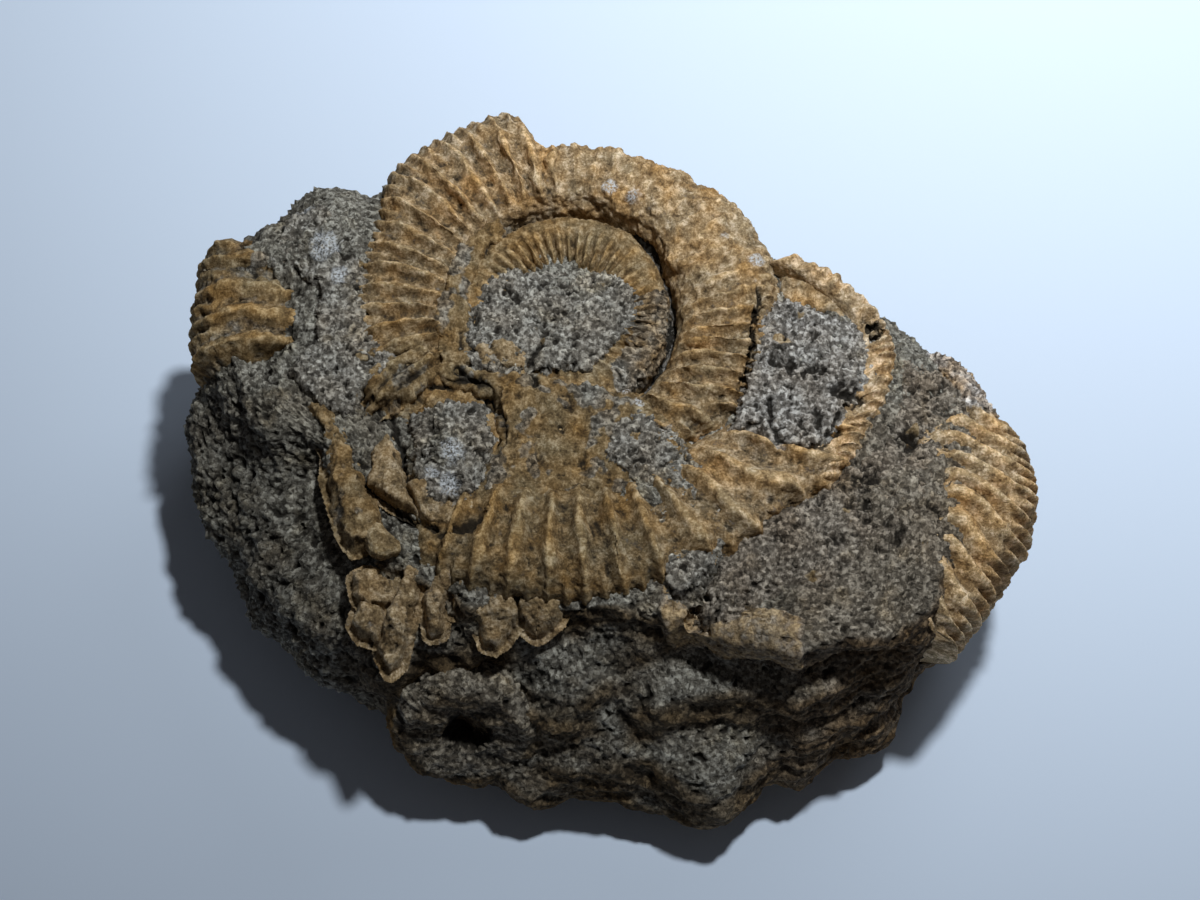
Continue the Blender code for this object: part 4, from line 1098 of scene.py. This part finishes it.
def make_coil():
    """The three whorls of the upper face, the last one's rim, and a stretch of the next turn at the left."""
    def first(a):
        return round_curve(FIRST_EDGE, a)

    def second(a):
        return round_curve(SECOND_EDGE, a)

    def third(a):
        return curve([row[0] for row in THIRD_EDGE], [row[1] for row in THIRD_EDGE], a)

    whole = (0.0, 360.0)
    end = THIRD_EDGE[-1][0]
    crusty = ((0, 0.7), (14, 0.9), (32, 1.2), (92, 1.1), (108, 0.6), (150, 0.2), (190, 0.3), (205, 1.3),
              (250, 1.0), (300, 0.6), (325, 0.25), (345, 0.4))
    make_whorl("inner_whorl", whole, lambda a: np.full(a.shape, INNERMOST), lambda a: first(a) - 2 * SEAM,
               {"half": INNER_HALF, "rib": INNER_RIB, "gain": 2.0, "wear": INNER_WEAR, "sharp": 0.8,
                "fine": 12, "section": 54, "crust": steady(0.15), "power": 0.55, "tilt": INNER_TILT,
                "fade": (-0.1, 0.5, 0.85), "dirt": 0.2, "covers": (INNER_DIRT,), "pale": steady(0.15)})
    make_whorl("middle_whorl", whole, lambda a: first(a) + 2 * SEAM, second,
               {"half": MIDDLE_HALF, "rib": MIDDLE_RIB, "gain": 1.5, "wear": MIDDLE_RIBS_LEFT, "sharp": 1.8,
                "fine": 14, "section": 92, "crust": crusty, "power": 0.7, "sinks": middle_sinks, "tilt": 0.3,
                "covers": (LOWER_PATCH,), "out": 0.35,
                # Painted paler towards the back and right, where the light falls strongest, and where its
                # crust has faded
                "pale": ((0, 0.6), (20, 0.9), (60, 0.97), (100, 0.95), (125, 0.95), (150, 0.6), (185, 0.38),
                         (215, 0.15), (300, 0.42), (340, 0.55))})
    make_whorl("outer_whorl", (OUTER_START, end), lambda a: second(a) - SEAM, third,
               {"half": OUTER_HALF, "rib": OUTER_RIB, "gain": 1.3, "wear": OUTER_RIBS_LEFT, "sharp": 2.4,
                "fine": 18, "section": 96, "crust": steady(0.15), "power": 0.7, "sinks": outer_sinks,
                "tilt": 0.8, "root": (-0.95, -0.2), "splits": (0.6, 1.0), "covers": (RIGHT_FILL,),
                "under": 2.5, "taper": (8.0, 3.0), "out": 0.5,
                # Painted paler on the right, where the light falls strongest, and where the shell has faded
                "pale": ((0, 0.9), (17, 0.9), (240, 0.05), (280, 0.1), (300, 0.5), (320, 0.9))})
    # The rim is painted much paler: faded shell, and painted light against its own shade
    make_whorl("outer_rim", (EDGE_START, end), lambda a: third(a) - EDGE_WIDTH, third,
               {"half": EDGE_HALF, "rib": EDGE_RIB, "gain": 1.5, "contrast": 0.5, "wear": EDGE_WEAR,
                "sharp": 0.9, "fine": 30, "section": 64, "crust": steady(0.0), "power": 0.65,
                "root": (-0.6, 0.1), "splits": (-1.2, -1.0), "parts": 3, "lean": EDGE_LEAN,
                "taper": (7.0, 3.0), "out": 0.3, "dirt": 0.1, "pale": steady(1.5)})
    make_whorl("left_stretch", LEFT_SPAN, lambda a: np.full(a.shape, LEFT_INNER),
               lambda a: np.full(a.shape, LEFT_OUTER),
               {"half": LEFT_HALF, "rib": LEFT_RIB, "wear": FULL_WEAR, "sharp": 0.9, "fine": 20,
                "section": 90, "crust": steady(0.8), "ribs": LEFT_RIBS_PER_TURN, "middle": LEFT_MIDDLE,
                "covers": (LEFT_COVER,), "taper": (3.0, 4.0), "dirt": 0.6})


def make_fan():
    """Ribbed stretch of whorl that curves out of the stone at the right end."""
    stations = int(FAN_RIBS * FAN_FINE)
    along = np.linspace(0.0, 1.0, stations)
    spots = np.linspace(0.0, 1.0, len(FAN_OUTER))
    inner = np.stack([curve(spots, [row[axis] for row in FAN_INNER], along) for axis in range(3)], axis=1)
    outer = np.stack([curve(spots, [row[axis] for row in FAN_OUTER], along) for axis in range(3)], axis=1)
    outward = outer[:, :2] - inner[:, :2]
    reach = np.linalg.norm(outward, axis=1, keepdims=True)
    outward = outward / reach
    turn = section_turns(FAN_SECTION)[None, :]
    across = np.cos(turn)
    upward = np.sin(turn)
    place = along[:, None] * FAN_RIBS - FAN_SWEEP * eased(*FAN_SWEEP_SPAN, across)
    line = grid_points(along[:, None] * FAN_LENGTH, FAN_WIDTH * across, 0.0)
    place = place + 0.12 * waves(line, 6.0, 5).reshape(place.shape)
    rib = ribs(place, eased(*FAN_SPLIT_SPAN, across), FAN_SHARPNESS) * eased(*FAN_START, along)[:, None]
    rib = rib * (1.0 + 0.3 * waves(line, 5.0, 6).reshape(place.shape))
    rib = rib * eased(*FAN_ROOT, across)
    height = FAN_RIB * FAN_GAIN * rib
    flat = -reach + (reach + height) * across
    x = outer[:, :1] + outward[:, :1] * flat
    y = outer[:, 1:2] + outward[:, 1:2] * flat
    z = outer[:, 2:] + (inner[:, 2:] - outer[:, 2:] + height) * upward
    spot = grid_points(x, y, z)
    mesh, normal = new_mesh("right_stretch", spot, tube_faces(stations, turn.size, False))
    nothing = np.zeros(len(spot))
    buried = np.broadcast_to(eased(*FAN_BURIED, along)[:, None], rib.shape).ravel()
    # The fan is painted paler: faded shell, and painted light at the lit right end
    relief, looks = shell_looks(spot, normal, rib.ravel(), nothing + 0.1, buried, 0.3, nothing + 1.1)
    add_piece(mesh, spot + normal * relief[:, None], looks)


def make_whorl_end():
    """Broken round whorl end at the front, with a blind hollow in its face."""
    profile = ((0.0, -HOLLOW_DEPTH), (HOLLOW_RADIUS * HOLLOW_FLOOR_SHARE, -HOLLOW_DEPTH),
               (HOLLOW_RADIUS, -HOLLOW_DEPTH * HOLLOW_THROAT_SHARE),
               (HOLLOW_RADIUS * HOLLOW_MOUTH_SHARE, 0.0), (END_RADIUS * END_CROWN_SHARE, END_CROWN),
               (END_RADIUS * END_EDGE_SHARE, -END_EDGE_DROP), (END_RADIUS, -END_BEVEL),
               (END_RADIUS, -END_DEPTH), (0.0, -END_DEPTH))
    lengths = np.cumsum([0.0] + [math.dist(a, b) for a, b in zip(profile, profile[1:])])
    along = np.concatenate([np.linspace(0.3, lengths[-2], END_ROWS), [lengths[-1] - 0.5]])
    radius = np.interp(along, lengths, [row[0] for row in profile])
    back = np.interp(along, lengths, [row[1] for row in profile])
    steps = END_STEPS
    turn = np.linspace(0.0, 2.0 * math.pi, steps, endpoint=False)
    spot = grid_points(radius[:, None] * np.cos(turn), radius[:, None] * np.sin(turn), back[:, None])
    facing = np.array(Vector(END_FACING).to_track_quat("Z", "Y").to_matrix())
    spot = spot @ facing.T + np.array(END_CENTRE)
    faces = []
    for row in range(len(along) - 1):
        for step in range(steps):
            beside = (step + 1) % steps
            faces.append((row * steps + step, (row + 1) * steps + step,
                          (row + 1) * steps + beside, row * steps + beside))
    faces.append(tuple(range(steps)))
    faces.append(tuple(reversed(range((len(along) - 1) * steps, len(along) * steps))))
    mesh, normal = new_mesh("whorl_end", spot, faces)
    relief, looks = stone_looks(spot, normal)
    out = (spot - np.array(END_CENTRE)) @ facing
    ring = np.hypot(out[:, 0], out[:, 1])
    rim = eased(10.6, 12.0, ring) * eased(-6.0, -2.0, out[:, 2])
    upper = eased(0.1, 0.6, normal[:, 2])
    # Lower side, turned to the front and away from the light, painted in shade, and browner
    looks["shade"] = 0.75 * (1.0 - upper)
    looks["rust"] = np.clip(0.3 + 0.6 * (1.0 - upper), 0.0, 1.0)
    looks["shell"] = np.clip(0.75 * rim - 0.4 * upper, 0.0, 1.0)
    # The hollow painted dark as its shade
    looks["crest"] = looks["crest"] - eased(4.6, 2.2, ring)
    add_piece(mesh, spot + normal * relief[:, None] * 0.8, looks)


def make_fragments():
    """Shell fragments that are cemented to the stone."""
    for number, *ends, radius in LUMPS:
        start = Vector(ends[:3])
        stop = Vector(ends[3:])
        work = bmesh.new()
        bmesh.ops.create_icosphere(work, subdivisions=5, radius=radius)
        for vert in work.verts:
            for axis in range(3):
                share = vert.co[axis] / radius
                vert.co[axis] = math.copysign(abs(share) ** FRAGMENT_POWER, share) * radius * FRAGMENT_WIDTH
        bmesh.ops.scale(work, vec=(1.0, 1.0, 1.0 + (stop - start).length / (2.0 * radius)), verts=work.verts)
        turn = (stop - start).to_track_quat("Z", "Y").to_matrix()
        bmesh.ops.rotate(work, cent=(0.0, 0.0, 0.0), matrix=turn, verts=work.verts)
        bmesh.ops.translate(work, vec=(start + stop) / 2.0, verts=work.verts)
        mesh = bpy.data.meshes.new(f"fragment_{number}")
        work.to_mesh(mesh)
        work.free()
        spot = points_of(mesh)
        normal = normals_of(mesh)
        bend = layers(spot, 4.0, 3, 299 + number)
        nothing = np.zeros(len(spot))
        relief, looks = shell_looks(spot, normal, 0.35 * bend, nothing + 0.4, nothing)
        looks["rust"] = looks["rust"] * 0.6
        add_piece(mesh, spot + normal * (relief + 0.5 * bend)[:, None], looks)


make_stone()
make_covers()
make_coil()
make_fan()
make_whorl_end()
make_fragments()

# Camera, light and paper
VIEW_TARGET = Vector((-0.4, -0.1, 30.0)) * MM
VIEW_DISTANCE = 420.0 * MM
VIEW_ELEVATION = math.radians(65.0)
VIEW_LENS = 78.75
SENSOR_WIDTH = 36.0
NEAREST = 0.01

# Name, place, what it faces, size, spread in degrees, power and colour
LIGHTS = (("window", (0.12, 0.102, 0.60), (0.08, 0.20, 0.0), 0.05, 76.0, 0.82, (0.92, 0.97, 1.0)),
          ("sky", (0.5, 0.7, 0.7), (0.0, 0.0, 0.0), 0.7, 180.0, 1.4, (0.86, 0.93, 1.0)))
ROOM_COLOUR = (0.93, 0.92, 0.97, 1.0)
ROOM_POWER = 0.051
PAPER_COLOUR = (0.70, 0.80, 0.95, 1.0)
PAPER_ROUGHNESS = 0.9
PAPER_REACH = 2.0

camera = put("camera", bpy.data.cameras.new("camera"))
camera.data.lens = VIEW_LENS
camera.data.sensor_width = SENSOR_WIDTH
camera.data.clip_start = NEAREST
VIEW_WAY = Vector((0.0, -math.cos(VIEW_ELEVATION), math.sin(VIEW_ELEVATION)))
camera.location = VIEW_TARGET + VIEW_DISTANCE * VIEW_WAY
camera.rotation_euler = (math.radians(90.0) - VIEW_ELEVATION, 0.0, 0.0)
bpy.context.scene.camera = camera


def area_light(name, place, target, size, spread, power, colour):
    """A round lamp that faces its target."""
    data = bpy.data.lights.new(name, "AREA")
    data.shape = "DISK"
    data.size = size
    data.spread = math.radians(spread)
    data.energy = power
    data.color = colour
    light = put(name, data)
    light.location = place
    light.rotation_euler = (Vector(target) - Vector(place)).to_track_quat("-Z", "Y").to_euler()


for lamp in LIGHTS:
    area_light(*lamp)
world = bpy.data.worlds.new("room")
world.use_nodes = True
world.node_tree.nodes["Background"].inputs["Color"].default_value = ROOM_COLOUR
world.node_tree.nodes["Background"].inputs["Strength"].default_value = ROOM_POWER
bpy.context.scene.view_settings.view_transform = "Standard"
bpy.context.scene.world = world

paper = bpy.data.materials.new("paper")
paper.use_nodes = True
paper.node_tree.nodes["Principled BSDF"].inputs["Base Color"].default_value = PAPER_COLOUR
paper.node_tree.nodes["Principled BSDF"].inputs["Roughness"].default_value = PAPER_ROUGHNESS
sheet = bpy.data.meshes.new("floor")
sheet.from_pydata([(x * PAPER_REACH, y * PAPER_REACH, 0.0) for x, y in ((-1, -1), (1, -1), (1, 1), (-1, 1))],
                  [], [(0, 1, 2, 3)])
sheet.materials.append(paper)
floor = put("floor", sheet)
